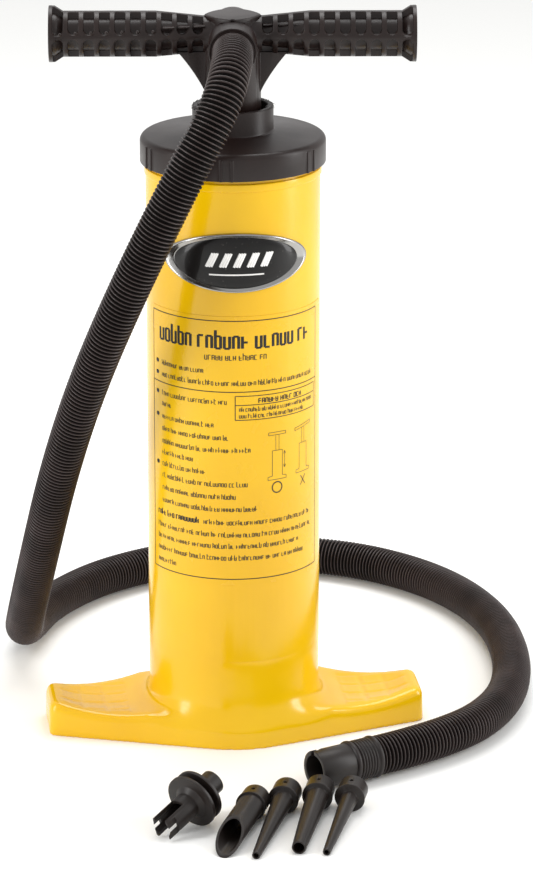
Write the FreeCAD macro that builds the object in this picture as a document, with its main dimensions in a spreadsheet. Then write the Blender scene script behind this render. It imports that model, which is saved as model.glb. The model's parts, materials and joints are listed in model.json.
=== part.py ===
"""Double action hand pump: a T-handled piston pump with a foot, a screw cap, a hose and loose nozzles.

Frame: +Z up along the rod, origin on the underside of the foot on the rod's axis, +X along the foot's
wings, -Y to the front. Millimetres. Every driving size is a cell of the spreadsheet `sizes`.
"""
import FreeCAD, Part
import Sketcher
import math
import os

os.makedirs("parts", exist_ok=True)
doc = FreeCAD.newDocument("hand_pump")
sheet = doc.addObject("Spreadsheet::Sheet", "sizes")
Vector = FreeCAD.Vector
UP = Vector(0, 0, 1)
ORIGIN = Vector(0, 0, 0)


# ---------------------------------------------------------------- driving sizes
class Size:
    """A number that remembers its spreadsheet formula, so that sums of sizes can be bound."""

    def __init__(self, value, formula):
        self.value = float(value)
        self.formula = formula

    def __float__(self):
        return self.value

    def __add__(self, other):
        return Size(self.value + float(other), f"({self.formula} + {formula_of(other)})")

    def __sub__(self, other):
        return Size(self.value - float(other), f"({self.formula} - {formula_of(other)})")

    def __mul__(self, other):
        return Size(self.value * float(other), f"({self.formula} * {formula_of(other)})")

    def __truediv__(self, other):
        return Size(self.value / float(other), f"({self.formula} / {formula_of(other)})")


def formula_of(size):
    return size.formula if isinstance(size, Size) else repr(float(size))


def size(alias, value):
    """Write one driving size into the sheet and return it."""
    row = size.rows = getattr(size, "rows", 0) + 1
    sheet.set(f"A{row}", alias)
    sheet.set(f"B{row}", str(value))
    sheet.setAlias(f"B{row}", alias)
    return Size(value, f"sizes.{alias}")


# foot and outer body
wing_reach = size("wing_reach", 124)            # half the foot's width
wing_end_depth = size("wing_end_depth", 21)     # half the depth of a wing's end
wing_end_rise = size("wing_end_rise", 25)       # top of a wing at its end
wing_dip = size("wing_dip", 17.6)               # lowest point of the saddle
foot_ledge = size("foot_ledge", 5.6)            # how far the foot stands out round the tube
foot_wall = size("foot_wall", 3)
foot_edge = size("foot_edge", 6)                # rounding of the wings' top edges
foot_fillet = size("foot_fillet", 5)            # fillet between the foot and the tube
tube_wall = size("tube_wall", 3)
tube_floor = size("tube_floor", 24)             # inside floor of the outer body
shoulder_level = size("shoulder_level", 378)    # top of the bead, where the threaded neck starts
bead_width = size("bead_width", 5)
bead_stand = size("bead_stand", 0.9)
neck_inset = size("neck_inset", 1)              # the neck is this much smaller than the tube
neck_length = size("neck_length", 13)
thread_depth = size("thread_depth", 1)
thread_pitch = size("thread_pitch", 4)
# inner cylinder
bore_radius = size("bore_radius", 50)
bore_wall = size("bore_wall", 2.2)
cylinder_gap = size("cylinder_gap", 0.8)        # between the inner cylinder and the outer body
flange_thick = size("flange_thick", 2)
end_cap_thick = size("end_cap_thick", 6)
end_cap_spigot = size("end_cap_spigot", 8)
seal_section = size("seal_section", 1.5)        # radius of the end seal's cord
# screw cap
cap_wall = size("cap_wall", 3)
cap_slack = size("cap_slack", 0.5)              # between the thread's crests and the cap
cap_skirt = size("cap_skirt", 14)               # skirt below the cap's plate
cap_plate = size("cap_plate", 3)
cap_edge = size("cap_edge", 4)                  # rounding of the cap's top edge
cap_dome = size("cap_dome", 3.2)                # rise of the plate from its edge to the collar
cap_rib_stand = size("cap_rib_stand", 0.8)
cap_rib_width = size("cap_rib_width", 2)
gasket_thick = size("gasket_thick", 1.5)
collar_gap = size("collar_gap", 4.5)            # between the handle's neck and the collar's wall
collar_wall = size("collar_wall", 3.5)
collar_height = size("collar_height", 16)
cup_depth = size("cup_depth", 12.5)
boss_drop = size("boss_drop", 44)               # the rod guide's boss, below the cap's plate
# rod, piston and handle
rod_radius = size("rod_radius", 15)
rod_wall = size("rod_wall", 2)
inner_tube_radius = size("inner_tube_radius", 9.5)
inner_tube_wall = size("inner_tube_wall", 1.5)
piston_gap = size("piston_gap", 8)              # piston above the end cap, handle down
piston_half = size("piston_half", 18)           # height of each piston half
piston_slack = size("piston_slack", 0.6)        # piston halves inside the bore, on the radius
piston_plate = size("piston_plate", 4)
piston_wall = size("piston_wall", 5.4)
ring_width = size("ring_width", 3)
ring_depth = size("ring_depth", 2.9)
divider_thick = size("divider_thick", 2)
valve_room = size("valve_room", 6.5)            # a valve is this much smaller than half its ring of space
valve_margin = size("valve_margin", 5)          # between the rod and a valve's disc
valve_thick = size("valve_thick", 1.2)
valve_lift = size("valve_lift", 2.5)
screw_inset = size("screw_inset", 8)            # the screws inside the chamber's wall
screw_radius = size("screw_radius", 2)
neck_wall = size("neck_wall", 3)                # the handle's neck round the rod
grip_rise = size("grip_rise", 46.05)            # the grips' axis above the collar, handle down
grip_reach = size("grip_reach", 116.5)          # half the handle's length
gusset_reach = size("gusset_reach", 17)         # the webs under the grips
gusset_drop = size("gusset_drop", 29)
gusset_thick = size("gusset_thick", 9)
grip_radius = size("grip_radius", 14.65)
grip_waist = size("grip_waist", 11.6)           # grip radius beside the hub
flange_radius = size("flange_radius", 18)
pocket_first = size("pocket_first", 22)
pocket_pitch = size("pocket_pitch", 9.85)
pocket_width = size("pocket_width", 6.8)
pocket_depth = size("pocket_depth", 4)
pocket_count = size("pocket_count", 10)
hub_radius = size("hub_radius", 18)
hub_rise = size("hub_rise", 12.8)               # the hub's lid above the grips' axis
cover_thick = size("cover_thick", 3)
port_wall = size("port_wall", 1.6)
port_dip = size("port_dip", 3.3)                # the ports' axis at the hub below the grips' axis
plug_wall = size("plug_wall", 0.8)              # the port's bore outside the hose's ridges
port_reach = size("port_reach", 32)
port_depth = size("port_depth", 14)
blow_radius = size("blow_radius", 7)
suck_radius = size("suck_radius", 5)
port_drop = size("port_drop", 3)                # the ports point this many degrees below level
handle_turn = size("handle_turn", -6)           # the handle's turn about the rod, in degrees
# hose
hose_radius = size("hose_radius", 13)
hose_wall = size("hose_wall", 2.5)
cuff_bead = size("cuff_bead", 0.9)
cuff_bead_width = size("cuff_bead_width", 3)
cuff_bead_slope = size("cuff_bead_slope", 0.6)
cuff_length = size("cuff_length", 21)
connector_length = size("connector_length", 25)
connector_wall = size("connector_wall", 2.9)
outlet_slack = size("outlet_slack", 0.5)        # between a nozzle's collar and the connector
# stickers
badge_width = size("badge_width", 89)
badge_height = size("badge_height", 38)
badge_drop = size("badge_drop", 51)             # the badge's middle below the shoulder
badge_turn = size("badge_turn", -4)             # the badge's turn round the tube, in degrees
badge_rim_width = size("badge_rim_width", 3)
label_drop = size("label_drop", 86)             # the label's top below the shoulder
label_length = size("label_length", 180)
label_span = size("label_span", 144)            # degrees round the tube
film_thick = size("film_thick", 0.2)
# loose fittings
nozzle_collar = size("nozzle_collar", 9.2)
nozzle_collar_length = size("nozzle_collar_length", 14)
nozzle_lip = size("nozzle_lip", 0.5)            # a lip at the collar's end stops it in the connector
nozzle_lip_width = size("nozzle_lip_width", 1.5)
nozzle_wall = size("nozzle_wall", 1.6)
pin_hole_radius = size("pin_hole_radius", 1.2)
adapter_disc = size("adapter_disc", 17.8)
adapter_body = size("adapter_body", 8.5)
# fits
fit_gap = size("fit_gap", 0.3)                  # between curved faces on different bodies
running_gap = size("running_gap", 0.05)         # radial clearance of a running fit
touch_gap = size("touch_gap", 0.05)             # between glued or pushed-together pieces

# sizes and levels worked out from the driving sizes
bore_outside = bore_radius + bore_wall
tube_radius = bore_outside + cylinder_gap + tube_wall
foot_bulge = tube_radius + foot_ledge
neck_top = shoulder_level + neck_length
cylinder_foot = tube_floor + fit_gap + end_cap_thick
flange_top = neck_top + flange_thick
gasket_top = flange_top + gasket_thick
plate_under = gasket_top + touch_gap
cap_rim = plate_under - cap_skirt
cap_shoulder = plate_under + cap_plate
collar_base = cap_shoulder + cap_dome
collar_top = collar_base + collar_height
cup_floor = collar_top - cup_depth
cap_inside = tube_radius - neck_inset + thread_depth + cap_slack
cap_radius = cap_inside + cap_wall
neck_radius = rod_radius + neck_wall
collar_radius = neck_radius + collar_gap + collar_wall
grip_axis = collar_top + grip_rise
hub_top = grip_axis + hub_rise
port_level = grip_axis - port_dip
port_bore = hose_radius + plug_wall
port_radius = port_bore + port_wall
outlet_bore = nozzle_collar + outlet_slack
connector_radius = outlet_bore + connector_wall
badge_level = shoulder_level - badge_drop
label_high = shoulder_level - label_drop
label_low = label_high - label_length
boss_bottom = plate_under - boss_drop
neck_bottom = cup_floor + fit_gap
piston_low = cylinder_foot + end_cap_spigot + piston_gap
piston_mid = piston_low + piston_half
piston_high = piston_mid + piston_half
piston_radius = bore_radius - piston_slack
chamber_radius = piston_radius - piston_wall
valve_radius = (chamber_radius - rod_radius) / 2 - valve_room
valve_circle = rod_radius + valve_margin + valve_radius
screw_circle = chamber_radius - screw_inset


# ---------------------------------------------------------------- modelling helpers
def origin_plane(body, role):
    return next(item for item in body.Origin.OriginFeatures if item.Role == role)


def turned(label, profile, placement=None, fillets=()):
    """A PartDesign body: the closed profile of (radius, height) sizes, turned about Z.

    fillets holds (radius, height, fillet size) of the circular edges to round.
    """
    body = doc.addObject("PartDesign::Body", label)
    body.Label = label
    sketch = body.newObject("Sketcher::SketchObject", label + "_profile")
    sketch.AttachmentSupport = [(origin_plane(body, "XZ_Plane"), "")]
    sketch.MapMode = "FlatFace"
    corners = [(float(r), float(z)) for r, z in profile]
    count = len(corners)
    for i, (r, z) in enumerate(corners):
        r_next, z_next = corners[(i + 1) % count]
        sketch.addGeometry(Part.LineSegment(Vector(r, z, 0), Vector(r_next, z_next, 0)))
    joins = [Sketcher.Constraint("Coincident", i, 2, (i + 1) % count, 1) for i in range(count)]
    sketch.addConstraint(joins)
    for i, (r, z) in enumerate(profile):
        if float(r) == 0:
            sketch.addConstraint(Sketcher.Constraint("PointOnObject", i, 1, -2))
        else:
            place = sketch.addConstraint(Sketcher.Constraint("DistanceX", -1, 1, i, 1, float(r)))
            bind(sketch, f"Constraints[{place}]", r)
        if float(z) == 0:
            sketch.addConstraint(Sketcher.Constraint("PointOnObject", i, 1, -1))
        else:
            place = sketch.addConstraint(Sketcher.Constraint("DistanceY", -1, 1, i, 1, float(z)))
            bind(sketch, f"Constraints[{place}]", z)
    feature = body.newObject("PartDesign::Revolution", label + "_turning")
    feature.Profile = sketch
    feature.ReferenceAxis = (sketch, ["V_Axis"])
    feature.Angle = 360
    sketch.Visibility = False
    doc.recompute()
    for number, (radius, height, rounding) in enumerate(fillets):
        edges = [
            f"Edge{i + 1}"
            for i, edge in enumerate(feature.Shape.Edges)
            if isinstance(edge.Curve, Part.Circle)
            and abs(edge.Curve.Radius - float(radius)) < 0.01
            and abs(edge.Curve.Center.z - float(height)) < 0.01
        ]
        rounded = body.newObject("PartDesign::Fillet", f"{label}_rounding_{number}")
        rounded.Base = (feature, edges)
        bind(rounded, "Radius", rounding)
        doc.recompute()
        feature = rounded
    body.Tip = feature
    if placement is not None:
        body.Placement = placement
    return body


def bind(item, path, value):
    if isinstance(value, Size):
        item.setExpression(path, value.formula)


def cylinder(name, radius, height, base, direction=UP):
    """A Part cylinder bound to its sizes; base is (x, y, z) of sizes or numbers."""
    item = doc.addObject("Part::Cylinder", name)
    item.Radius = float(radius)
    item.Height = float(height)
    item.Placement = FreeCAD.Placement(
        Vector(*(float(part) for part in base)), FreeCAD.Rotation(UP, direction)
    )
    bind(item, "Radius", radius)
    bind(item, "Height", height)
    for axis, part in zip("xyz", base):
        bind(item, f"Placement.Base.{axis}", part)
    return item


def cut(label, base, *tools, placement=None):
    """Base with all the tools taken away."""
    tool = tools[0] if len(tools) == 1 else union(label + "_cutters", *tools)
    item = doc.addObject("Part::Cut", label)
    item.Label = label
    item.Base = base
    item.Tool = tool
    if placement is not None:
        item.Placement = placement
    return item


def union(label, *shapes):
    item = doc.addObject("Part::MultiFuse", label)
    item.Label = label
    item.Shapes = list(shapes)
    return item


def solid(label, shape, placement=None):
    """A sub-part whose shape no feature makes by itself: its sizes are read from the sheet in code."""
    item = doc.addObject("Part::Feature", label)
    item.Label = label
    item.Shape = shape
    if placement is not None:
        item.Placement = placement.multiply(shape.Placement)
    return item


def round_about(radius, degrees, height):
    """A point at this distance and direction from the rod's axis, as bindable sizes."""
    angle = math.radians(degrees)
    return (radius * math.cos(angle), radius * math.sin(angle), height)


def ring_of(count, shape, axis_point=ORIGIN):
    """count copies of a shape, evenly round the Z axis through axis_point."""
    copies = []
    for i in range(count):
        turned_copy = shape.copy()
        turned_copy.rotate(axis_point, UP, 360 * i / count)
        copies.append(turned_copy)
    return copies


def extruded(points, direction):
    wire = Part.makePolygon(points + [points[0]])
    return Part.Face(wire).extrude(direction)


parts = {}


def keep(item):
    parts[item.Label] = item
    return item


WITH_HANDLE = FreeCAD.Placement(ORIGIN, FreeCAD.Rotation(UP, float(handle_turn)))


# ---------------------------------------------------------------- outer body with its foot
def foot_plan(inset, low, high):
    """Prism of the foot's outline: a circle round the tube and tangents to the wings' ends."""
    reach = float(wing_reach) - inset
    depth = float(wing_end_depth) - inset
    bulge = float(foot_bulge) - inset
    lean = math.atan2(depth, reach) + math.acos(bulge / math.hypot(reach, depth))
    touch_x = bulge * math.cos(lean)
    touch_y = bulge * math.sin(lean)
    front_line = Part.LineSegment(Vector(reach, -depth, 0), Vector(touch_x, -touch_y, 0))
    front_arc = Part.Arc(
        Vector(touch_x, -touch_y, 0), Vector(0, -bulge, 0), Vector(-touch_x, -touch_y, 0)
    )
    other_line = Part.LineSegment(Vector(-touch_x, -touch_y, 0), Vector(-reach, -depth, 0))
    end_line = Part.LineSegment(Vector(-reach, -depth, 0), Vector(-reach, depth, 0))
    half = [curve.toShape() for curve in (front_line, front_arc, other_line, end_line)]
    rest = []
    for edge in half:
        turned_edge = edge.copy()
        turned_edge.rotate(ORIGIN, UP, 180)
        rest.append(turned_edge)
    face = Part.Face(Part.Wire(Part.__sortEdges__(half + rest)))
    face.translate(Vector(0, 0, low))
    return face.extrude(Vector(0, 0, high - low))


def foot_side(drop, low):
    """Prism of the foot seen from the front: flat below, a long saddle on each wing above."""
    reach = float(wing_reach)
    rise = float(wing_end_rise) - drop
    dip = float(wing_dip) - drop
    root = float(tube_radius)
    root_rise = dip + 0.4 * (rise - dip)
    edges = []
    for side in (1, -1):
        end = Vector(side * (reach + 1), 0, rise)
        middle = Vector(side * (root + 0.42 * (reach - root)), 0, dip)
        start = Vector(side * root, 0, root_rise)
        edges.append(Part.Arc(start, middle, end).toShape())
        edges.append(Part.LineSegment(end, Vector(side * (reach + 1), 0, low)).toShape())
    edges.append(Part.LineSegment(Vector(-root, 0, root_rise), Vector(root, 0, root_rise)).toShape())
    edges.append(Part.LineSegment(Vector(-reach - 1, 0, low), Vector(reach + 1, 0, low)).toShape())
    face = Part.Face(Part.Wire(Part.__sortEdges__(edges)))
    face.translate(Vector(0, -float(foot_bulge) - 1, 0))
    return face.extrude(Vector(0, 2 * float(foot_bulge) + 2, 0))


def ribbed_cavity():
    """The hollow under the foot, less its ribs; the ribs cross at the origin."""
    wall = float(foot_wall)
    cavity = foot_plan(wall, -1, float(wing_end_rise)).common(foot_side(wall, -1))
    reach = float(wing_reach)
    height = float(wing_end_rise) + 2
    ribs = [Part.makeBox(2 * reach, wall, height, Vector(-reach, -wall / 2, -1))]
    bulge = float(foot_bulge)
    for share in (-2, -1, 0, 1, 2):
        place = share * reach / 2.7
        ribs.append(Part.makeBox(wall, 2 * bulge, height, Vector(place - wall / 2, -bulge, -1)))
    return cavity.cut(ribs)


def body_shell():
    foot = foot_plan(0, 0, float(wing_end_rise) + 5).common(foot_side(0, 0))
    uprights = [
        e for e in foot.Edges
        if is_upright(e) and abs(abs(e.CenterOfMass.x) - float(wing_reach)) < 1
    ]
    foot = foot.makeFillet(float(foot_edge), uprights)
    top_edges = [
        e for e in foot.Edges
        if not is_upright(e) and e.BoundBox.ZMin > 1 and abs(e.CenterOfMass.x) > 1
    ]
    foot = foot.makeFillet(0.8 * float(foot_edge), top_edges)
    tube = Part.makeCylinder(float(tube_radius), float(shoulder_level))
    shell = foot.fuse(tube)
    shell = shell.removeSplitter()
    joint_edges = [e for e in shell.Edges if meets_tube(e)]
    shell = shell.makeFillet(float(foot_fillet), joint_edges)
    bead = Part.makeCylinder(
        float(tube_radius + bead_stand), float(bead_width), Vector(0, 0, float(shoulder_level - bead_width))
    )
    bead = bead.makeFillet(0.8 * float(bead_stand), bead.Edges[:1] + bead.Edges[2:])
    neck = Part.makeCylinder(
        float(tube_radius - neck_inset), float(neck_top - shoulder_level), Vector(0, 0, float(shoulder_level))
    )
    shell = shell.fuse([bead, neck] + thread_rings())
    bore = Part.makeCylinder(
        float(tube_radius - tube_wall), float(neck_top), Vector(0, 0, float(tube_floor))
    )
    return shell.cut([bore, ribbed_cavity()])


def is_upright(edge):
    return edge.BoundBox.XLength < 0.01 and edge.BoundBox.YLength < 0.01


def meets_tube(edge):
    """True for the edges where the foot's top runs into the tube."""
    radius = float(tube_radius)
    first, last = edge.ParameterRange
    points = [edge.valueAt(first + share * (last - first)) for share in (0.1, 0.5, 0.9)]
    on_tube = all(abs(math.hypot(p.x, p.y) - radius) < 0.02 for p in points)
    return on_tube and 1 < points[1].z < float(wing_end_rise) + 10 and not is_upright(edge)


def thread_rings():
    """The neck's thread, drawn as level rings inside the cap's skirt."""
    rings = []
    level = float(shoulder_level) + 3
    while level + 2 < float(neck_top):
        low_radius = float(tube_radius - neck_inset)
        crest = low_radius + float(thread_depth)
        ring = Part.makeCone(low_radius, crest, 0.8, Vector(0, 0, level))
        ring = ring.fuse(Part.makeCone(crest, low_radius, 0.8, Vector(0, 0, level + 0.8)))
        rings.append(ring)
        level += float(thread_pitch)
    return rings


keep(solid("body_shell", body_shell()))

# ---------------------------------------------------------------- inner cylinder
keep(turned("inner_cylinder", [
    (bore_radius, cylinder_foot),
    (bore_outside, cylinder_foot),
    (bore_outside, neck_top + touch_gap),
    (tube_radius - neck_inset, neck_top + touch_gap),
    (tube_radius - neck_inset, flange_top),
    (bore_radius, flange_top),
]))
spigot_radius = bore_radius - touch_gap
groove_floor = spigot_radius - seal_section * 2 + touch_gap
spigot_top = cylinder_foot + end_cap_spigot
groove_mid = cylinder_foot + end_cap_spigot / 2
keep(turned("cylinder_end_cap", [
    (0, tube_floor + fit_gap),
    (bore_outside, tube_floor + fit_gap),
    (bore_outside, cylinder_foot - touch_gap),
    (spigot_radius, cylinder_foot - touch_gap),
    (spigot_radius, groove_mid - seal_section - touch_gap),
    (groove_floor, groove_mid - seal_section - touch_gap),
    (groove_floor, groove_mid + seal_section + touch_gap),
    (spigot_radius, groove_mid + seal_section + touch_gap),
    (spigot_radius, spigot_top),
    (0, spigot_top),
]))
end_seal = doc.addObject("Part::Torus", "cylinder_end_seal")
end_seal.Label = "cylinder_end_seal"
bind(end_seal, "Radius1", bore_radius - seal_section)
bind(end_seal, "Radius2", seal_section - touch_gap / 2)
bind(end_seal, "Placement.Base.z", groove_mid)
keep(end_seal)


# ---------------------------------------------------------------- screw cap and its rod guide
boss_bore = collar_radius - collar_wall - 0.5
cap_blank = turned("cap_turning", [
    (cap_inside, cap_rim),
    (cap_radius, cap_rim),
    (cap_radius, cap_shoulder),
    (collar_radius, collar_base),
    (collar_radius, collar_top),
    (collar_radius - collar_wall, collar_top),
    (collar_radius - collar_wall, cup_floor),
    (boss_bore, cup_floor),
    (boss_bore, boss_bottom),
    (collar_radius, boss_bottom),
    (collar_radius, plate_under),
    (cap_inside, plate_under),
], fillets=[
    (cap_radius, cap_shoulder, cap_edge),
    (collar_radius, collar_base, cap_edge / 3),
    (collar_radius, collar_top, collar_wall / 5),
    (collar_radius - collar_wall, collar_top, collar_wall / 5),
])


def cap_ribs():
    """Pairs of upright grip ribs round the skirt."""
    height = float(cap_skirt)
    stand = float(cap_rib_stand)
    width = float(cap_rib_width)
    corner = Vector(float(cap_radius) - 1, -width / 2, float(cap_rim))
    rib = Part.makeBox(stand + 1, width, height, corner)
    rib = rib.makeFillet(0.45 * stand, [e for e in rib.Edges if e.CenterOfMass.x > float(cap_radius)])
    ribs = []
    for angle in CAP_RIB_ANGLES:
        copy = rib.copy()
        copy.rotate(ORIGIN, UP, angle)
        ribs.append(copy)
    return Part.makeCompound(ribs)


CAP_RIB_PAIRS = 6
CAP_RIB_SPREAD = 6.5
CAP_RIB_ANGLES = [
    -100 + 360 * pair / CAP_RIB_PAIRS + offset
    for pair in range(CAP_RIB_PAIRS)
    for offset in (-CAP_RIB_SPREAD / 2, CAP_RIB_SPREAD / 2)
]
rib_solids = doc.addObject("Part::Feature", "cap_rib_blanks")
rib_solids.Shape = cap_ribs()
keep(union("screw_cap", cap_blank, rib_solids))

keep(turned("cap_gasket", [
    (bore_radius + touch_gap, flange_top + touch_gap / 2),
    (tube_radius - neck_inset, flange_top + touch_gap / 2),
    (tube_radius - neck_inset, gasket_top),
    (bore_radius + touch_gap, gasket_top),
]))
bush_outside = boss_bore - touch_gap
retainer_top = boss_bottom + 5
seal_top = retainer_top + 7
keep(turned("rod_guide_bush", [
    (rod_radius + running_gap, seal_top + touch_gap),
    (bush_outside, seal_top + touch_gap),
    (bush_outside, cup_floor),
    (rod_radius + running_gap, cup_floor),
]))
keep(turned("rod_seal", [
    (rod_radius + running_gap, retainer_top + touch_gap),
    (bush_outside, retainer_top + touch_gap),
    (bush_outside, seal_top),
    (rod_radius + running_gap + 3.4, seal_top),
    (rod_radius + running_gap + 2.6, retainer_top + 3),
    (rod_radius + running_gap + 1.8, seal_top),
    (rod_radius + running_gap, seal_top),
]))
keep(turned("seal_retainer", [
    (rod_radius + running_gap * 6, boss_bottom),
    (bush_outside, boss_bottom),
    (bush_outside, retainer_top),
    (rod_radius + running_gap * 6, retainer_top),
]))


# ---------------------------------------------------------------- rod
rod_foot = piston_high - piston_plate - 4
rod_head = grip_axis - 21
keep(turned("rod_outer_tube", [
    (rod_radius - rod_wall, rod_foot),
    (rod_radius, rod_foot),
    (rod_radius, rod_head),
    (rod_radius - rod_wall, rod_head),
], WITH_HANDLE))
inner_tube_foot = piston_mid - 6
inner_tube_head = grip_axis - 11
keep(turned("rod_inner_tube", [
    (inner_tube_radius - inner_tube_wall, inner_tube_foot),
    (inner_tube_radius, inner_tube_foot),
    (inner_tube_radius, inner_tube_head),
    (inner_tube_radius - inner_tube_wall, inner_tube_head),
], WITH_HANDLE))

# ---------------------------------------------------------------- piston and its four valves
# The valves' directions round the rod: which chamber each serves and which way it opens.
LOWER_OUT = 0        # lower cylinder space to the delivery chamber, opens up
LOWER_IN = 90        # intake chamber to the lower cylinder space, opens down
UPPER_IN = 180       # intake chamber to the upper cylinder space, opens up
UPPER_OUT = 270      # upper cylinder space to the delivery chamber, opens down
SCREW_ANGLES = (45, 135, 225, 315)
duct_outside = valve_radius + 1
duct_inside = valve_radius - 0.5
groove_radius = piston_radius - ring_depth
step_radius = piston_radius - piston_wall + 2
half_divider = divider_thick / 2


def seat_holes(name, angle, low, thick):
    """A valve seat: six air holes round the hole of the valve's stem."""
    holes = []
    for i in range(6):
        x, y, z = round_about(valve_circle, angle, low - 1)
        offset = valve_radius * 0.66
        spoke = math.radians(60 * i)
        place = (x + offset * math.cos(spoke), y + offset * math.sin(spoke), z)
        holes.append(cylinder(f"{name}_hole_{i}", valve_radius / 4, thick + 2, place))
    stem_place = round_about(valve_circle, angle, low - 1)
    holes.append(cylinder(f"{name}_stem_hole", 1.3, thick + 2, stem_place))
    return holes


def screw_holes(name, radius, low, length):
    return [
        cylinder(f"{name}_{i}", radius, length, round_about(screw_circle, angle, low))
        for i, angle in enumerate(SCREW_ANGLES)
    ]


def piston_half_profile(plate_face, inner_face, rim_face, step_face, ring_low, ring_high, axis_radius):
    """Profile of one piston half: plate, rim wall with its ring groove, step for the divider."""
    return [
        (axis_radius, plate_face),
        (piston_radius, plate_face),
        (piston_radius, ring_low),
        (groove_radius, ring_low),
        (groove_radius, ring_high),
        (piston_radius, ring_high),
        (piston_radius, rim_face),
        (step_radius, rim_face),
        (step_radius, step_face),
        (chamber_radius, step_face),
        (chamber_radius, inner_face),
        (axis_radius, inner_face),
    ]


lower_ring_low = piston_low + 4
lower_ring_high = lower_ring_low + ring_width
lower_blank = turned("piston_lower_turning", piston_half_profile(
    piston_low, piston_low + piston_plate, piston_mid - touch_gap, piston_mid - half_divider - touch_gap,
    lower_ring_low, lower_ring_high, 0,
))
boss_height = piston_half - piston_plate - half_divider - touch_gap
lower_bosses = [
    cylinder(f"lower_boss_{i}", screw_radius + 3, boss_height,
             round_about(screw_circle, angle, piston_low + piston_plate))
    for i, angle in enumerate(SCREW_ANGLES)
]
keep(cut(
    "piston_lower_half",
    union("piston_lower_blank", lower_blank, *lower_bosses),
    *seat_holes("lower_out", LOWER_OUT, piston_low, piston_plate),
    *seat_holes("lower_in", LOWER_IN, piston_low, piston_plate),
    *screw_holes("lower_screw_hole", screw_radius, piston_low + piston_plate - 2, piston_half),
    placement=WITH_HANDLE,
))

upper_ring_high = piston_high - 4
upper_ring_low = upper_ring_high - ring_width
upper_blank = turned("piston_upper_turning", piston_half_profile(
    piston_high, piston_high - piston_plate, piston_mid + touch_gap, piston_mid + half_divider + touch_gap,
    upper_ring_high, upper_ring_low, rod_radius + touch_gap,
))
duct_bottom = piston_mid + half_divider + touch_gap
duct_height = piston_high - piston_plate - duct_bottom
upper_bosses = [
    cylinder(f"upper_boss_{i}", screw_radius + 3, duct_height, round_about(screw_circle, angle, duct_bottom))
    for i, angle in enumerate(SCREW_ANGLES)
]
upper_duct = cylinder(
    "upper_duct", duct_outside, duct_height, round_about(valve_circle, UPPER_OUT, duct_bottom)
)
upper_duct_bore = cylinder(
    "upper_duct_bore", duct_inside, piston_half, round_about(valve_circle, UPPER_OUT, duct_bottom - 0.5)
)
keep(cut(
    "piston_upper_half",
    union("piston_upper_blank", upper_blank, upper_duct, *upper_bosses),
    upper_duct_bore,
    *seat_holes("upper_in", UPPER_IN, piston_high - piston_plate, piston_plate),
    *screw_holes("upper_screw_hole", screw_radius + 0.2, duct_bottom - 1, piston_half + 2),
    placement=WITH_HANDLE,
))

divider_low = piston_mid - half_divider
divider_blank = cylinder("divider_disc", step_radius - touch_gap, divider_thick, (0, 0, divider_low))
lower_duct_low = piston_low + piston_plate + touch_gap
lower_duct = cylinder(
    "lower_duct", duct_outside, divider_low - lower_duct_low,
    round_about(valve_circle, LOWER_IN, lower_duct_low),
)
lower_duct_bore = cylinder(
    "lower_duct_bore", duct_inside, piston_half + 2, round_about(valve_circle, LOWER_IN, lower_duct_low - 1)
)
keep(cut(
    "valve_divider",
    union("divider_blank", divider_blank, lower_duct),
    lower_duct_bore,
    cylinder("divider_tube_hole", inner_tube_radius + touch_gap, 6, (0, 0, divider_low - 2)),
    *seat_holes("upper_out", UPPER_OUT, divider_low, divider_thick),
    *screw_holes("divider_screw_hole", screw_radius + 0.2, divider_low - 1, divider_thick + 2),
    placement=WITH_HANDLE,
))


def valve(label, angle, seat, plate, opening):
    """A rubber mushroom valve: disc on the seat, stem through the plate, bulb beyond it.

    opening is 1 when the disc lies on top of the plate and lifts up, -1 when it hangs below it.
    """
    disc_gap = 0.1
    stem = 1.1
    bulb = 1.9
    travel = float(valve_lift) + 0.1
    reach = -(float(plate) + travel + disc_gap + bulb)
    disc = Part.makeCylinder(float(valve_radius), float(valve_thick), Vector(0, 0, disc_gap))
    rod = Part.makeCylinder(stem, disc_gap - reach, Vector(0, 0, reach))
    ball = Part.makeSphere(bulb, Vector(0, 0, reach))
    shape = disc.fuse([rod, ball])
    if opening < 0:
        shape.rotate(ORIGIN, Vector(1, 0, 0), 180)
    x, y, z = round_about(valve_circle, angle, seat)
    shape.translate(Vector(float(x), float(y), float(z)))
    return keep(solid(label, shape, WITH_HANDLE))


valve("valve_lower_delivery", LOWER_OUT, piston_low + piston_plate, piston_plate, 1)
valve("valve_lower_intake", LOWER_IN, piston_low, piston_plate, -1)
valve("valve_upper_intake", UPPER_IN, piston_high, piston_plate, 1)
valve("valve_upper_delivery", UPPER_OUT, divider_low, divider_thick, -1)


def piston_screws():
    """Four pan head screws that clamp the halves and the divider together."""
    head_level = float(piston_high) + 0.02
    length = float(piston_half) * 2 - float(piston_plate) + 1
    shank = Part.makeCylinder(float(screw_radius) - 0.02, length, Vector(0, 0, head_level - length))
    head = Part.makeCylinder(3.8, 2.4, Vector(0, 0, head_level))
    head = head.makeFillet(1, [e for e in head.Edges if e.BoundBox.ZMin > head_level + 2])
    slot = Part.makeBox(4.4, 1, 1.4, Vector(-2.2, -0.5, head_level + 1.2))
    cross = Part.makeBox(1, 4.4, 1.4, Vector(-0.5, -2.2, head_level + 1.2))
    screw = shank.fuse(head).cut([slot, cross])
    screw.translate(Vector(*(float(part) for part in round_about(screw_circle, SCREW_ANGLES[0], 0))))
    return Part.makeCompound(ring_of(len(SCREW_ANGLES), screw))


keep(solid("piston_screws", piston_screws(), WITH_HANDLE))


def piston_ring(label, low, high):
    inner = groove_radius + fit_gap
    outer = bore_radius - running_gap
    keep(turned(label, [
        (inner, low + running_gap * 2),
        (outer, low + running_gap * 2),
        (outer, high - running_gap * 2),
        (inner, high - running_gap * 2),
    ]))


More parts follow.
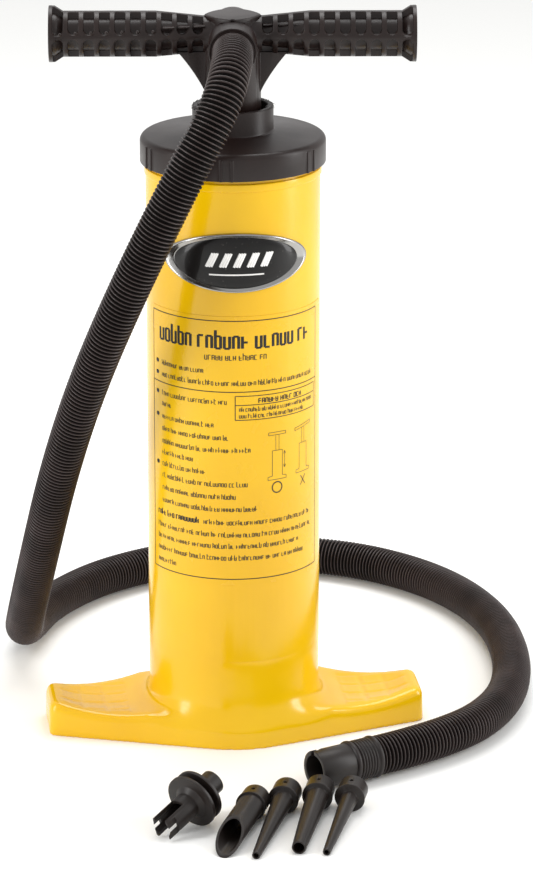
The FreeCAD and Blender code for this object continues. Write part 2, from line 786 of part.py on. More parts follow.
piston_ring("piston_ring_lower", lower_ring_low, lower_ring_high)
piston_ring("piston_ring_upper", upper_ring_low, upper_ring_high)


# ---------------------------------------------------------------- handle
def port_axis(side):
    """Direction out of a port; side -1 is the front port, which blows, and 1 the rear, which sucks."""
    drop = math.radians(float(port_drop))
    return Vector(0, side * math.cos(drop), -math.sin(drop))


def port_start():
    return Vector(0, 0, float(port_level))


def port_cylinder(side, radius, start, end):
    axis = port_axis(side)
    return Part.makeCylinder(radius, end - start, port_start() + axis * start, axis)


def hub_outline(share, level):
    """The hub's rounded diamond: four corners joined by bulging arcs."""
    reach = float(hub_radius) * share
    edges = []
    ways = (Vector(1, 0, 0), Vector(0, 1, 0), Vector(-1, 0, 0), Vector(0, -1, 0))
    corners = [way * reach + Vector(0, 0, level) for way in ways]
    for i, corner in enumerate(corners):
        nearby = corners[(i + 1) % 4]
        middle = (corner + nearby) * 0.5
        outward = Vector(middle.x, middle.y, 0)
        outward.normalize()
        edges.append(Part.Arc(corner, middle + outward * reach * 0.17, nearby).toShape())
    return Part.Wire(edges)


def grip_profile(inset):
    """Half a grip turned about X: waist beside the hub, round grip, flare and end flange."""
    axis = float(grip_axis)
    reach = float(grip_reach)
    radius = float(grip_radius)
    flare = reach - 9
    points = [
        (0, float(grip_waist)), (float(pocket_first) - 3, float(grip_waist)),
        (float(pocket_first) + 27, radius), (flare, radius), (reach - 3.8, float(flange_radius)),
        (reach, float(flange_radius)), (reach, 0), (0, 0),
    ]
    corners = [Vector(x, 0, axis + max(r - inset, 0)) for x, r in points]
    face = Part.Face(Part.makePolygon(corners + [corners[0]]))
    return face.revolve(Vector(0, 0, axis), Vector(1, 0, 0), 360)


def pocket(upper):
    """Cutter of one pocket at x = 0 on the front: an upright slot with a round end at the middle."""
    axis = float(grip_axis)
    half = float(pocket_width) / 2
    far = float(flange_radius) + 4
    start = 2.0 if upper else -0.7
    way = 1 if upper else -1
    level = axis + start + way * half
    bottom = Part.makeCylinder(half, far, Vector(0, 0, level), Vector(0, -1, 0))
    box = Part.makeBox(2 * half, far, far, Vector(-half, -far, level if upper else level - far))
    spine = 2.3
    slot = bottom.fuse(box)
    slot.translate(Vector(0, -spine, 0))
    return slot


def grip_pockets():
    cutters = []
    for upper in (True, False):
        front = pocket(upper)
        back = front.copy()
        back.rotate(Vector(0, 0, 0), UP, 180)
        for side in (1, -1):
            for i in range(int(float(pocket_count))):
                place = Vector(side * (float(pocket_first) + i * float(pocket_pitch)), 0, 0)
                for cutter in (front, back):
                    copy = cutter.copy()
                    copy.translate(place)
                    cutters.append(copy)
    return cutters


def gussets():
    """Webs under the grips, one each side of the neck, with a hollow curve below."""
    neck = float(neck_radius)
    reach = float(gusset_reach)
    drop = float(gusset_drop)
    thick = float(gusset_thick)
    under_grip = float(grip_axis) - 11
    webs = []
    for side in (1, -1):
        low = Vector(side * (neck - 2), -thick / 2, under_grip - drop)
        far = Vector(side * (neck + reach), -thick / 2, under_grip)
        bend = Vector(side * (neck + 0.32 * reach), -thick / 2, under_grip - 0.535 * drop)
        top = Vector(side * (neck - 6), -thick / 2, under_grip)
        edges = [
            Part.Arc(low, bend, far).toShape(),
            Part.LineSegment(far, top).toShape(),
            Part.LineSegment(top, low).toShape(),
        ]
        webs.append(Part.Face(Part.Wire(edges)).extrude(Vector(0, thick, 0)))
    return webs


def handle():
    axis = float(grip_axis)
    grip = grip_profile(0)
    core = grip_profile(float(pocket_depth))
    grip = grip.cut(Part.makeCompound(grip_pockets()).cut(core))
    other = grip.mirror(ORIGIN, Vector(1, 0, 0))
    neck = Part.makeCylinder(float(neck_radius), axis - float(neck_bottom), Vector(0, 0, float(neck_bottom)))
    cover_level = float(hub_top - cover_thick)
    crown = Part.makeLoft([hub_outline(0.62, axis - 4), hub_outline(0.97, cover_level)], True)
    sockets = [port_cylinder(side, float(port_radius), 4, float(port_reach)) for side in (-1, 1)]
    shape = neck.fuse([grip, other, crown] + sockets + gussets())
    top_trim = Part.Face(hub_outline(1.02, cover_level)).extrude(Vector(0, 0, 20))
    socket_bores = [
        port_cylinder(side, float(port_bore), float(port_reach - port_depth), float(port_reach) + 5)
        for side in (-1, 1)
    ]
    socket_radius = float(rod_radius + touch_gap)
    socket_length = float(rod_head + touch_gap - neck_bottom) + 1
    rod_socket = Part.makeCylinder(socket_radius, socket_length, Vector(0, 0, float(neck_bottom) - 1))
    tube_socket = Part.makeCylinder(float(inner_tube_radius + touch_gap), 19, Vector(0, 0, float(rod_head)))
    # the inner tube blows through the front port; the ring of air round it is sucked in at the rear one
    way_outside = float(rod_radius - rod_wall)
    way_inside = (way_outside + float(inner_tube_radius)) / 2
    blow_way = port_cylinder(-1, float(blow_radius), 0, float(port_reach))
    suck_way = port_cylinder(1, float(suck_radius), way_inside, float(port_reach))
    ring_base = Vector(0, 0, float(rod_head))
    ring_way = Part.makeCylinder(way_outside, 23, ring_base).cut(Part.makeCylinder(way_inside, 23, ring_base))
    ring_way = ring_way.common(Part.makeBox(30, 20, 23, Vector(-15, 5, float(rod_head))))
    low_ring = Part.makeCylinder(way_outside, 2, ring_base).cut(Part.makeCylinder(way_inside, 2, ring_base))
    ways = [blow_way, suck_way, ring_way, low_ring] + socket_bores
    return shape.cut([top_trim, rod_socket, tube_socket] + ways)


keep(solid("handle", handle(), WITH_HANDLE))


def hub_cover():
    """The raised diamond lid of the hub, notched at its front and rear corners."""
    low = float(hub_top - cover_thick) + float(touch_gap)
    lid = Part.Face(hub_outline(1, low)).extrude(Vector(0, 0, float(hub_top) - low))
    lid = lid.makeFillet(1.2, [e for e in lid.Edges if e.BoundBox.ZMin > float(hub_top) - 0.1])
    notch = Part.makeBox(2.4, 3, 8, Vector(-1.2, -float(hub_radius) - 1.4, low - 2))
    other_notch = notch.copy()
    other_notch.rotate(ORIGIN, UP, 180)
    return lid.cut([notch, other_notch])


keep(solid("hub_cover", hub_cover(), WITH_HANDLE))

# ---------------------------------------------------------------- hose
# Route of the hose's middle line, from the front port down to the floor, round the back and to the front.
FLOOR = float(hose_radius + cuff_bead) + 0.1
EXIT = WITH_HANDLE.multVec(port_start() + port_axis(-1) * float(port_reach))
FIRST_RUN = 30
ROUTE = [
    EXIT,
    WITH_HANDLE.multVec(port_start() + port_axis(-1) * (float(port_reach) + FIRST_RUN)),
    Vector(-17, -82, 432),
    Vector(-40, -88, 392),
    Vector(-72, -76, 322),
    Vector(-98, -48, 250),
    Vector(-115, -13, 180),
    Vector(-126, 36, 105),
    Vector(-132, 96, 42),
    Vector(-131, 144, FLOOR),
    Vector(-108, 206, FLOOR),
    Vector(-58, 264, FLOOR),
    Vector(20, 298, FLOOR),
    Vector(105, 281, FLOOR),
    Vector(166, 222, FLOOR),
    Vector(196, 140, FLOOR),
    Vector(196, 45, FLOOR),
    Vector(176, -34, FLOOR),
    Vector(132, -90, FLOOR),
    Vector(78, -117, FLOOR),
]
SPLIT_LEVEL = 330
SPLIT_X = -20


def hose_path(points):
    """One wire of straight runs and tangent arcs, each arc as large as its two runs allow."""
    edges = []
    radii = []
    here = points[0]
    for i in range(1, len(points) - 1):
        before = points[i] - points[i - 1]
        after = points[i + 1] - points[i]
        half_turn = before.getAngle(after) / 2
        back = 0.45 * min(before.Length, after.Length)
        radius = back / math.tan(half_turn)
        radii.append(round(radius, 1))
        before.normalize()
        after.normalize()
        start = points[i] - before * back
        end = points[i] + after * back
        middle = points[i] + (after - before).normalize() * (radius / math.cos(half_turn) - radius)
        edges.append(Part.LineSegment(here, start).toShape())
        edges.append(Part.Arc(start, middle, end).toShape())
        here = end
    edges.append(Part.LineSegment(here, points[-1]).toShape())
    return Part.Wire(edges), radii


def swept(path, radius):
    run = path.Edges[0]
    begin = run.FirstParameter
    ring = Part.Wire(Part.makeCircle(radius, run.valueAt(begin), run.tangentAt(begin)))
    return path.makePipeShell([ring], True, True)


hose_wire, hose_radii = hose_path(ROUTE)
print("hose arc radii, mm:", hose_radii)
print("hose length, mm:", round(hose_wire.Length, 1))
hose_outer = swept(hose_wire, float(hose_radius))
hose_inner = swept(hose_wire, float(hose_radius - hose_wall))
hose_tube = hose_outer.cut(hose_inner)
section = math.pi * (float(hose_radius) ** 2 - float(hose_radius - hose_wall) ** 2)
print("hose volume / (section x length):", round(hose_tube.Volume / (section * hose_wire.Length), 4))
HUGE = 1000
above = Part.makeBox(2 * HUGE, 2 * HUGE, HUGE, Vector(-HUGE, -HUGE, SPLIT_LEVEL))
below = Part.makeBox(2 * HUGE, 2 * HUGE, HUGE, Vector(-HUGE, -HUGE, SPLIT_LEVEL - HUGE))
left = Part.makeBox(HUGE, 2 * HUGE, 2 * HUGE, Vector(SPLIT_X - HUGE, -HUGE, -HUGE))
right = Part.makeBox(HUGE, 2 * HUGE, 2 * HUGE, Vector(SPLIT_X, -HUGE, -HUGE))
keep(solid("hose_top", hose_tube.common(above)))
hose_low = hose_tube.common(below)
keep(solid("hose_drop", hose_low.common(left)))
keep(solid("hose_floor", hose_low.common(right)))

# the plug that joins the hose to the front port
plug_placement = WITH_HANDLE.multiply(
    FreeCAD.Placement(port_start() + port_axis(-1) * float(port_reach), FreeCAD.Rotation(UP, port_axis(-1)))
)
plug_length = port_depth - touch_gap
plug_back = Vector(0, 0, -float(plug_length))
plug = Part.makeCylinder(float(port_bore - touch_gap), float(plug_length), plug_back)
plug = plug.cut(Part.makeCylinder(float(hose_radius - hose_wall), float(plug_length), plug_back))
keep(solid("hose_plug", plug, plug_placement))

# the end connector: its own axis runs from the hose's end to the mouth
mouth_way = ROUTE[-1] - ROUTE[-2]
end_placement = FreeCAD.Placement(ROUTE[-1], FreeCAD.Rotation(UP, mouth_way))
bead_radius = hose_radius + cuff_bead
keep(turned("hose_cuff", [
    (hose_radius - hose_wall, 0),
    (bead_radius, 0),
    (bead_radius, cuff_bead_width),
    (hose_radius, cuff_bead_width + cuff_bead_slope),
    (hose_radius, cuff_length - cuff_bead_width - cuff_bead_slope),
    (bead_radius, cuff_length - cuff_bead_width),
    (bead_radius, cuff_length),
    (hose_radius - hose_wall, cuff_length),
], end_placement))
connector_blank = turned("connector_turning", [
    (outlet_bore, cuff_length + touch_gap),
    (connector_radius, cuff_length + touch_gap),
    (connector_radius, cuff_length + connector_length),
    (outlet_bore, cuff_length + connector_length),
])


def bayonet_slots():
    """Two J-shaped slots in the mouth, one each side."""
    mouth = float(cuff_length + connector_length)
    entry = Part.makeBox(30, 3.4, 8, Vector(0, -1.7, mouth - 8))
    catch = Part.makeBox(30, 7.5, 3.4, Vector(0, -1.7, mouth - 8))
    slot = entry.fuse(catch)
    opposite = slot.copy()
    opposite.rotate(ORIGIN, UP, 180)
    both = slot.fuse(opposite)
    both.rotate(ORIGIN, UP, 40)
    return both


slot_tool = doc.addObject("Part::Feature", "bayonet_slots")
slot_tool.Shape = bayonet_slots()
keep(cut("hose_end_connector", connector_blank, slot_tool, placement=end_placement))


# ---------------------------------------------------------------- badge and printed label
def oval_prism(width, height):
    """An upright oval, extruded forwards from the rod's axis."""
    oval = Part.Ellipse(Vector(0, 0, 0), width / 2, height / 2).toShape()
    face = Part.Face(Part.Wire(oval))
    face.rotate(ORIGIN, Vector(1, 0, 0), 90)
    face.translate(Vector(0, 0, float(badge_level)))
    return face.extrude(Vector(0, -2 * float(tube_radius), 0))


def skin(thick, low, high):
    """A sleeve of this thickness laid on the tube."""
    inside = float(tube_radius + touch_gap)
    outer = Part.makeCylinder(inside + thick, high - low, Vector(0, 0, low))
    return outer.cut(Part.makeCylinder(inside, high - low, Vector(0, 0, low)))


badge_low = float(badge_level - badge_height)
badge_high = float(badge_level + badge_height)
badge_place = FreeCAD.Placement(ORIGIN, FreeCAD.Rotation(UP, float(badge_turn)))
inside_width = float(badge_width - badge_rim_width * 2)
inside_height = float(badge_height - badge_rim_width * 2)
rim = skin(1.8, badge_low, badge_high).common(
    oval_prism(float(badge_width), float(badge_height)).cut(oval_prism(inside_width, inside_height))
)
face_gap = 2 * float(touch_gap)
face = skin(1.0, badge_low, badge_high).common(oval_prism(inside_width - face_gap, inside_height - face_gap))
keep(solid("badge_rim", rim, badge_place))
keep(solid("badge_face", face, badge_place))


def label_film():
    film = skin(float(film_thick), float(label_low), float(label_high))
    half = math.radians(float(label_span) / 2)
    far = 2 * float(tube_radius)
    wedge = extruded([
        ORIGIN, Vector(-far * math.sin(half), -far * math.cos(half), 0), Vector(0, -2 * far, 0),
        Vector(far * math.sin(half), -far * math.cos(half), 0),
    ], Vector(0, 0, 2 * float(label_high)))
    return film.common(wedge)


keep(solid("label_film", label_film()))


# ---------------------------------------------------------------- loose nozzles and the valve adapter
def lying(x, y, heading_degrees, back_rim, front_rim):
    """Placement of a piece that lies on the floor with its start above (x, y).

    It rests on two of its rims, each given as (distance from the start, radius).
    """
    back, back_radius = (float(part) for part in back_rim)
    front, front_radius = (float(part) for part in front_rim)
    tilt = math.atan((back_radius - front_radius) / (front - back))
    lift = back * math.sin(tilt) + back_radius * math.cos(tilt) + 0.02
    turn = FreeCAD.Rotation(UP, heading_degrees)
    lean = FreeCAD.Rotation(Vector(0, 1, 0), 90 + math.degrees(tilt))
    return FreeCAD.Placement(Vector(x, y, lift), turn.multiply(lean))


def nozzle(label, length, root_radius, tip_radius, x, y, heading_degrees):
    """A stepped cone: round collar that fits the hose's mouth, then a taper to the tip."""
    wall = nozzle_wall
    collar_end = nozzle_collar_length
    lip = nozzle_collar + nozzle_lip
    placement = lying(x, y, heading_degrees, (collar_end, lip), (length, tip_radius))
    blank = turned(label + "_turning", [
        (nozzle_collar - wall, 0),
        (nozzle_collar, 0),
        (nozzle_collar, collar_end - nozzle_lip_width),
        (lip, collar_end - nozzle_lip_width),
        (lip, collar_end),
        (root_radius, collar_end + 0.8),
        (tip_radius, length),
        (tip_radius - 1, length),
        (root_radius - 1.5, collar_end),
        (nozzle_collar - wall, collar_end - 2),
    ])
    pin_hole = cylinder(
        label + "_pin_hole", pin_hole_radius, nozzle_collar * 2, (0, 0, collar_end / 2), Vector(-1, 0, 0)
    )
    return keep(cut(label, blank, pin_hole, placement=placement))


nozzle("nozzle_fine", 90, 6.6, 2.6, 17, -161.5, -109.3)
nozzle("nozzle_wide", 86, 7.2, 4.4, 38.2, -158.5, -106.1)
nozzle("nozzle_slim", 87, 5.4, 2.4, 58.7, -163, -108.6)


OBLIQUE_LENGTH = 78
OBLIQUE_STEP = 0.9


def oblique_nozzle():
    """A straight wide nozzle with its end cut on the slant."""
    length = OBLIQUE_LENGTH
    collar = float(nozzle_collar)
    collar_end = float(nozzle_collar_length)
    lip_start = Vector(0, 0, collar_end - float(nozzle_lip_width))
    body = Part.makeCylinder(collar, collar_end)
    lip = Part.makeCylinder(collar + float(nozzle_lip), float(nozzle_lip_width), lip_start)
    body = body.fuse([lip, Part.makeCylinder(collar - OBLIQUE_STEP, length)])
    bore = Part.makeCylinder(collar - float(nozzle_wall) - OBLIQUE_STEP, length)
    slant = extruded([
        Vector(-20, -20, length + 1),
        Vector(collar, -20, length + 1),
        Vector(-collar - 1, -20, length - 34),
        Vector(-20, -20, length - 34),
    ], Vector(0, 40, 0))
    pin_hole = Part.makeCylinder(float(pin_hole_radius), 30, Vector(0, 0, collar_end / 2), Vector(-1, 0, 0))
    return body.cut([bore, slant, pin_hole])


keep(solid(
    "nozzle_oblique", oblique_nozzle(),
    lying(
        -4, -170, -111.6,
        (nozzle_collar_length, nozzle_collar + nozzle_lip), (OBLIQUE_LENGTH, nozzle_collar - OBLIQUE_STEP),
    ),
))


ADAPTER_LENGTH = 53
ADAPTER_DISCS = (14, 21)
DISC_THICK = 2.4


def valve_adapter():
    """Valve adapter: spigot, two sealing discs, and a slotted end with two hooked prongs."""
    disc = float(adapter_disc)
    body = float(adapter_body)
    back, front = ADAPTER_DISCS
    cone = front + DISC_THICK
    shape = Part.makeCylinder(body - 0.6, back + 1)
    shape = shape.fuse([
        Part.makeCylinder(disc - 0.6, DISC_THICK, Vector(0, 0, back)),
        Part.makeCylinder(body + 1.5, front - back, Vector(0, 0, back + 1)),
        Part.makeCylinder(disc, DISC_THICK, Vector(0, 0, front)),
        Part.makeCone(body + 3, body, 3, Vector(0, 0, cone)),
        Part.makeCylinder(body, ADAPTER_LENGTH - cone, Vector(0, 0, cone)),
    ])
    bore = Part.makeCylinder(body - 2.4, ADAPTER_LENGTH + 2)
    slot = Part.makeBox(40, 8.5, 26, Vector(-20, -4.25, cone + 11))
    flats = [
        Part.makeBox(40, 20, 9, Vector(-20, side * 6 - (20 if side < 0 else 0), ADAPTER_LENGTH - 7))
        for side in (1, -1)
    ]
    return shape.cut([bore, slot] + flats)


keep(solid(
    "valve_adapter", valve_adapter(),
    lying(-31.5, -174, -135, (ADAPTER_DISCS[1] + DISC_THICK, adapter_disc), (ADAPTER_LENGTH, adapter_body)),
))

# ---------------------------------------------------------------- check and write
doc.recompute()
for item in doc.Objects:
    if "Invalid" in item.State or "Error" in item.State:
        raise RuntimeError(f"{item.Name} did not build: {item.State}")
for name, item in parts.items():
    shape = item.Shape
    if shape.isNull() or not shape.isValid() or not shape.Solids:
        raise RuntimeError(f"{name} has no valid solid")
    shape.exportStep(f"parts/{name}.step")
    box = shape.BoundBox
    print(
        f"{name}: {len(shape.Solids)} solid(s), {shape.Volume / 1000:.2f} cm3, "
        f"x {box.XMin:.1f}..{box.XMax:.1f} y {box.YMin:.1f}..{box.YMax:.1f} z {box.ZMin:.1f}..{box.ZMax:.1f}"
    )
print(len(parts), "sub-parts written")
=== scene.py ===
# %% [markdown]
# # A double action hand pump, made cell by cell
# The pump's hard parts come from the engineering model, which this script loads as a fixed frame.
# Everything here is in metres, in that model's own frame: Z up along the piston rod, X along the foot's
# wings, minus Y to the front. The lesson adds what a drawing of sizes leaves out: rounded edges, a ribbed
# hose, a badge, print, finishes and light.

# %% Load the frame
import json
import math
import random

import bpy
from mathutils import Matrix, Vector


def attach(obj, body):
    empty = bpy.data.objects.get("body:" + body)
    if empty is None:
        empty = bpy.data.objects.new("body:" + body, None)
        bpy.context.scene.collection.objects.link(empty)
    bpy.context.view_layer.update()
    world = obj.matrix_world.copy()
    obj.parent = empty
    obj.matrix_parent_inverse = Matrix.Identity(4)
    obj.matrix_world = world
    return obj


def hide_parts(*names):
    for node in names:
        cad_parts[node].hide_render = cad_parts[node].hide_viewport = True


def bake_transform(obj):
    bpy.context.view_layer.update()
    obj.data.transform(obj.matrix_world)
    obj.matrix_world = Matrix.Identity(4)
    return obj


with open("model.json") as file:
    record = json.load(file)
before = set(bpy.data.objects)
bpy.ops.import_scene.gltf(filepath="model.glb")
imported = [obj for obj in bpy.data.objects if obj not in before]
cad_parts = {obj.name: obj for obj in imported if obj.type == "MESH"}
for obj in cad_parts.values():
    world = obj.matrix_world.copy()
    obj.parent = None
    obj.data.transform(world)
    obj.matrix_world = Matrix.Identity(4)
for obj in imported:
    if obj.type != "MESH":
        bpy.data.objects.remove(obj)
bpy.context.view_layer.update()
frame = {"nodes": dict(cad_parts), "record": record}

MM = 0.001

# %% [markdown]
# ## Camera
# A product picture is taken from far away with a long lens, so that upright edges stay upright and the
# top and the foot show almost the same size. A camera 3 m away with a 189 mm lens does that. It looks
# down a little, which shows the cap's top and the inside of the foot's saddle, and it is turned so that
# the pump stands left of the middle and leaves room for the hose.

# %% Camera
CAMERA_DISTANCE = 2.8727
CAMERA_HEIGHT = 1.0946
CAMERA_SIDE = math.radians(6)          # the camera stands this far round to the left
CAMERA_DOWN = math.radians(17.433)
CAMERA_TURN = math.radians(0.428)      # turned to the right past the rod

camera_data = bpy.data.cameras.new("camera")
camera_data.lens = 189
camera_data.sensor_width = 36
camera = bpy.data.objects.new("camera", camera_data)
bpy.context.scene.collection.objects.link(camera)
camera.location = (
    -CAMERA_DISTANCE * math.sin(CAMERA_SIDE), -CAMERA_DISTANCE * math.cos(CAMERA_SIDE), CAMERA_HEIGHT,
)
camera.rotation_euler = (math.pi / 2 - CAMERA_DOWN, 0, -(CAMERA_SIDE + CAMERA_TURN))
bpy.context.scene.camera = camera
# a catalogue picture keeps the full colour of its plastics
bpy.context.scene.view_settings.view_transform = "Standard"
print("camera, m:", [round(side, 4) for side in camera.location], "lens, mm:", camera_data.lens)

# %% [markdown]
# ## The hose's line
# The hose is one springy tube. It leaves the front port of the handle, falls in a long bow past the
# tube's left side, lies on the floor, goes round behind the pump and comes back on the right. A NURBS
# curve of order 3 keeps such a line smooth through few points. The same points carry the plain tube of
# the engineering model. The curve is then read as a fine chain of points, which everything on the hose
# follows.

# %% The hose's line
HOSE_RADIUS = 13 * MM
FLOOR_LINE = 0.014                     # height of the hose's middle where it lies on its ridges
HOSE_ROUTE = [
    (-0.00334, -0.03178, 0.45783),
    (-0.00647, -0.06158, 0.45626),
    (-0.017, -0.082, 0.432),
    (-0.040, -0.088, 0.392),
    (-0.072, -0.076, 0.322),
    (-0.098, -0.048, 0.250),
    (-0.115, -0.013, 0.180),
    (-0.126, 0.036, 0.105),
    (-0.132, 0.096, 0.042),
    (-0.131, 0.144, FLOOR_LINE),
    (-0.108, 0.206, FLOOR_LINE),
    (-0.058, 0.264, FLOOR_LINE),
    (0.020, 0.298, FLOOR_LINE),
    (0.105, 0.281, FLOOR_LINE),
    (0.166, 0.222, FLOOR_LINE),
    (0.196, 0.140, FLOOR_LINE),
    (0.196, 0.045, FLOOR_LINE),
    (0.176, -0.034, FLOOR_LINE),
    (0.132, -0.090, FLOOR_LINE),
    (0.078, -0.117, FLOOR_LINE),
]


def smooth_line(points):
    """The points read from a NURBS curve through these control points."""
    curve = bpy.data.curves.new("line", "CURVE")
    curve.dimensions = "3D"
    curve.resolution_u = 40
    spline = curve.splines.new("NURBS")
    spline.points.add(len(points) - 1)
    for control, place in zip(spline.points, points):
        control.co = (*place, 1)
    spline.order_u = 3
    spline.use_endpoint_u = True
    carrier = bpy.data.objects.new("line", curve)
    bpy.context.scene.collection.objects.link(carrier)
    chain = bpy.data.meshes.new_from_object(carrier)
    places = [vertex.co.copy() for vertex in chain.vertices]
    bpy.data.objects.remove(carrier)
    bpy.data.meshes.remove(chain)
    bpy.data.curves.remove(curve)
    return places


def stations(line, step):
    """Points along a chain of points, evenly spaced by about step from its first point to its last."""
    lengths = [0.0]
    for here, there in zip(line, line[1:]):
        lengths.append(lengths[-1] + (there - here).length)
    count = round(lengths[-1] / step)
    result = []
    at = 0
    for i in range(count + 1):
        goal = lengths[-1] * i / count
        while at < len(line) - 2 and lengths[at + 1] < goal:
            at += 1
        share = (goal - lengths[at]) / max(lengths[at + 1] - lengths[at], 1e-12)
        result.append(line[at].lerp(line[at + 1], share))
    return result


def length_of(line):
    return sum((there - here).length for here, there in zip(line, line[1:]))


hose_line = smooth_line(HOSE_ROUTE)
print("hose line, mm:", round(length_of(hose_line) / MM, 1))

# %% [markdown]
# ## Small tools for modelling
# Blender's operators act on whatever is selected, so each step first deselects everything and then takes
# one object. A colour picked on a screen is stored with a curve in it, so a hex code is turned linear
# once, here. One helper adds a shader node with its settings and its links.

# %% Small tools for modelling
def work_on(piece):
    """Make this the only selected object, in object mode."""
    if bpy.context.object is not None and bpy.context.object.mode != "OBJECT":
        bpy.ops.object.mode_set(mode="OBJECT")
    bpy.ops.object.select_all(action="DESELECT")
    piece.select_set(True)
    bpy.context.view_layer.objects.active = piece


def new_piece(name, vertices, faces):
    """A piece from its corners and faces."""
    mesh = bpy.data.meshes.new(name)
    mesh.from_pydata(vertices, [], faces)
    piece = bpy.data.objects.new(name, mesh)
    bpy.context.scene.collection.objects.link(piece)
    return piece


def add_modifier(piece, kind, **settings):
    """Add one modifier and apply it."""
    work_on(piece)
    modifier = piece.modifiers.new(kind.lower(), kind)
    for name, value in settings.items():
        setattr(modifier, name, value)
    bpy.ops.object.modifier_apply(modifier=modifier.name)


def smooth(piece, degrees=35):
    work_on(piece)
    bpy.ops.object.shade_smooth_by_angle(angle=math.radians(degrees))


def triangles(piece):
    return sum(len(face.vertices) - 2 for face in piece.data.polygons)


def linear(hex_code):
    """Linear colour of an sRGB hex code."""
    parts = [int(hex_code[i:i + 2], 16) / 255 for i in (1, 3, 5)]
    return [part / 12.92 if part <= 0.04045 else ((part + 0.055) / 1.055) ** 2.4 for part in parts] + [1.0]


def add_node(tree, kind, inputs=(), stops=(), **settings):
    """Add one shader node.

    inputs maps a socket to a value, or to (another node, its output). stops are a ramp's (place, colour).
    """
    node = tree.nodes.new(kind)
    for name, value in settings.items():
        setattr(node, name, value)
    for key, value in dict(inputs).items():
        if isinstance(value, tuple) and isinstance(value[0], bpy.types.Node):
            tree.links.new(value[0].outputs[value[1]], node.inputs[key])
        else:
            node.inputs[key].default_value = value
    for number, (place, colour) in enumerate(stops):
        element = node.color_ramp.elements[number]
        element.position = place
        element.color = colour
    return node


def new_finish(name):
    material = bpy.data.materials.new(name)
    material.use_nodes = True
    material.node_tree.nodes.clear()
    print("finish:", name)
    return material, material.node_tree


def finish_with(tree, shader):
    add_node(tree, "ShaderNodeOutputMaterial", {"Surface": (shader, "BSDF")})


# %% [markdown]
# ## Yellow glossy ABS
# The outer body is ABS, moulded in a polished tool and pigmented right through. To the eye that is a
# warm, deep yellow with sharp reflections, a faint orange peel, a slight drift of tone where the melt
# flowed, and fine dust that dulls the gloss in places. The orange peel has a grain of about 3 mm, and the
# dust one of about 25 mm.

# %% Yellow glossy ABS
def glossy_abs(name, base, deep, roughness, peel):
    material, tree = new_finish(name)
    coords = add_node(tree, "ShaderNodeTexCoord")
    drift = add_node(tree, "ShaderNodeTexNoise", {"Vector": (coords, "Object"), "Scale": 9.0, "Detail": 3.0})
    tone = add_node(tree, "ShaderNodeValToRGB", {"Fac": (drift, "Fac")}, stops=[
        (0.35, linear(deep)), (0.65, linear(base)),
    ])
    dust = add_node(tree, "ShaderNodeTexNoise", {"Vector": (coords, "Object"), "Scale": 40.0, "Detail": 6.0})
    gloss = add_node(tree, "ShaderNodeMapRange", {
        "Value": (dust, "Fac"), "From Min": 0.3, "From Max": 0.75,
        "To Min": roughness, "To Max": roughness + 0.09,
    })
    grain = add_node(tree, "ShaderNodeTexNoise", {
        "Vector": (coords, "Object"), "Scale": 320.0, "Detail": 2.0,
    })
    bump = add_node(tree, "ShaderNodeBump", {"Height": (grain, "Fac"), "Strength": peel, "Distance": 0.0002})
    shader = add_node(tree, "ShaderNodeBsdfPrincipled", {
        "Base Color": (tone, "Color"), "Roughness": (gloss, "Result"), "Normal": (bump, "Normal"),
        "IOR": 1.46, "Coat Weight": 0.12, "Coat Roughness": 0.06,
    })
    finish_with(tree, shader)
    return material


yellow_abs = glossy_abs("yellow_glossy_abs", "#ecbc02", "#e4b000", 0.16, 0.08)
clear_film = glossy_abs("printed_clear_film", "#ebbb03", "#e3af00", 0.22, 0.05)

# %% [markdown]
# ## Black moulded ABS and polypropylene
# The cap, the handle and the nozzles are moulded in tools with a fine spark-eroded texture. The black has
# a little brown in it, its gloss is low, and the texture breaks up each highlight. Rubbed places are
# lighter and glossier, spread at random by a noise cloud. The texture's grain is near 0.3 mm, drawn at
# 0.6 mm so that it shows from a distance.

# %% Black moulded ABS
def moulded_black(name, base, worn, roughness, grain_scale=1600.0, grain_strength=0.25):
    material, tree = new_finish(name)
    coords = add_node(tree, "ShaderNodeTexCoord")
    cloud = add_node(tree, "ShaderNodeTexNoise", {"Vector": (coords, "Object"), "Scale": 28.0, "Detail": 5.0})
    tone = add_node(tree, "ShaderNodeValToRGB", {"Fac": (cloud, "Fac")}, stops=[
        (0.3, linear(base)), (0.8, linear(worn)),
    ])
    shine = add_node(tree, "ShaderNodeMapRange", {
        "Value": (cloud, "Fac"), "From Min": 0.3, "From Max": 0.7,
        "To Min": roughness + 0.05, "To Max": roughness - 0.05,
    })
    grain = add_node(tree, "ShaderNodeTexNoise", {
        "Vector": (coords, "Object"), "Scale": grain_scale, "Detail": 2.0,
    })
    bump = add_node(tree, "ShaderNodeBump", {
        "Height": (grain, "Fac"), "Strength": grain_strength, "Distance": 0.0001,
    })
    shader = add_node(tree, "ShaderNodeBsdfPrincipled", {
        "Base Color": (tone, "Color"), "Roughness": (shine, "Result"), "Normal": (bump, "Normal"), "IOR": 1.5,
        "Specular IOR Level": 0.34,
    })
    finish_with(tree, shader)
    return material


black_abs = moulded_black("black_moulded_abs", "#1a100e", "#281c19", 0.36)
nozzle_black = moulded_black("black_moulded_polypropylene", "#16110e", "#241d1a", 0.42)
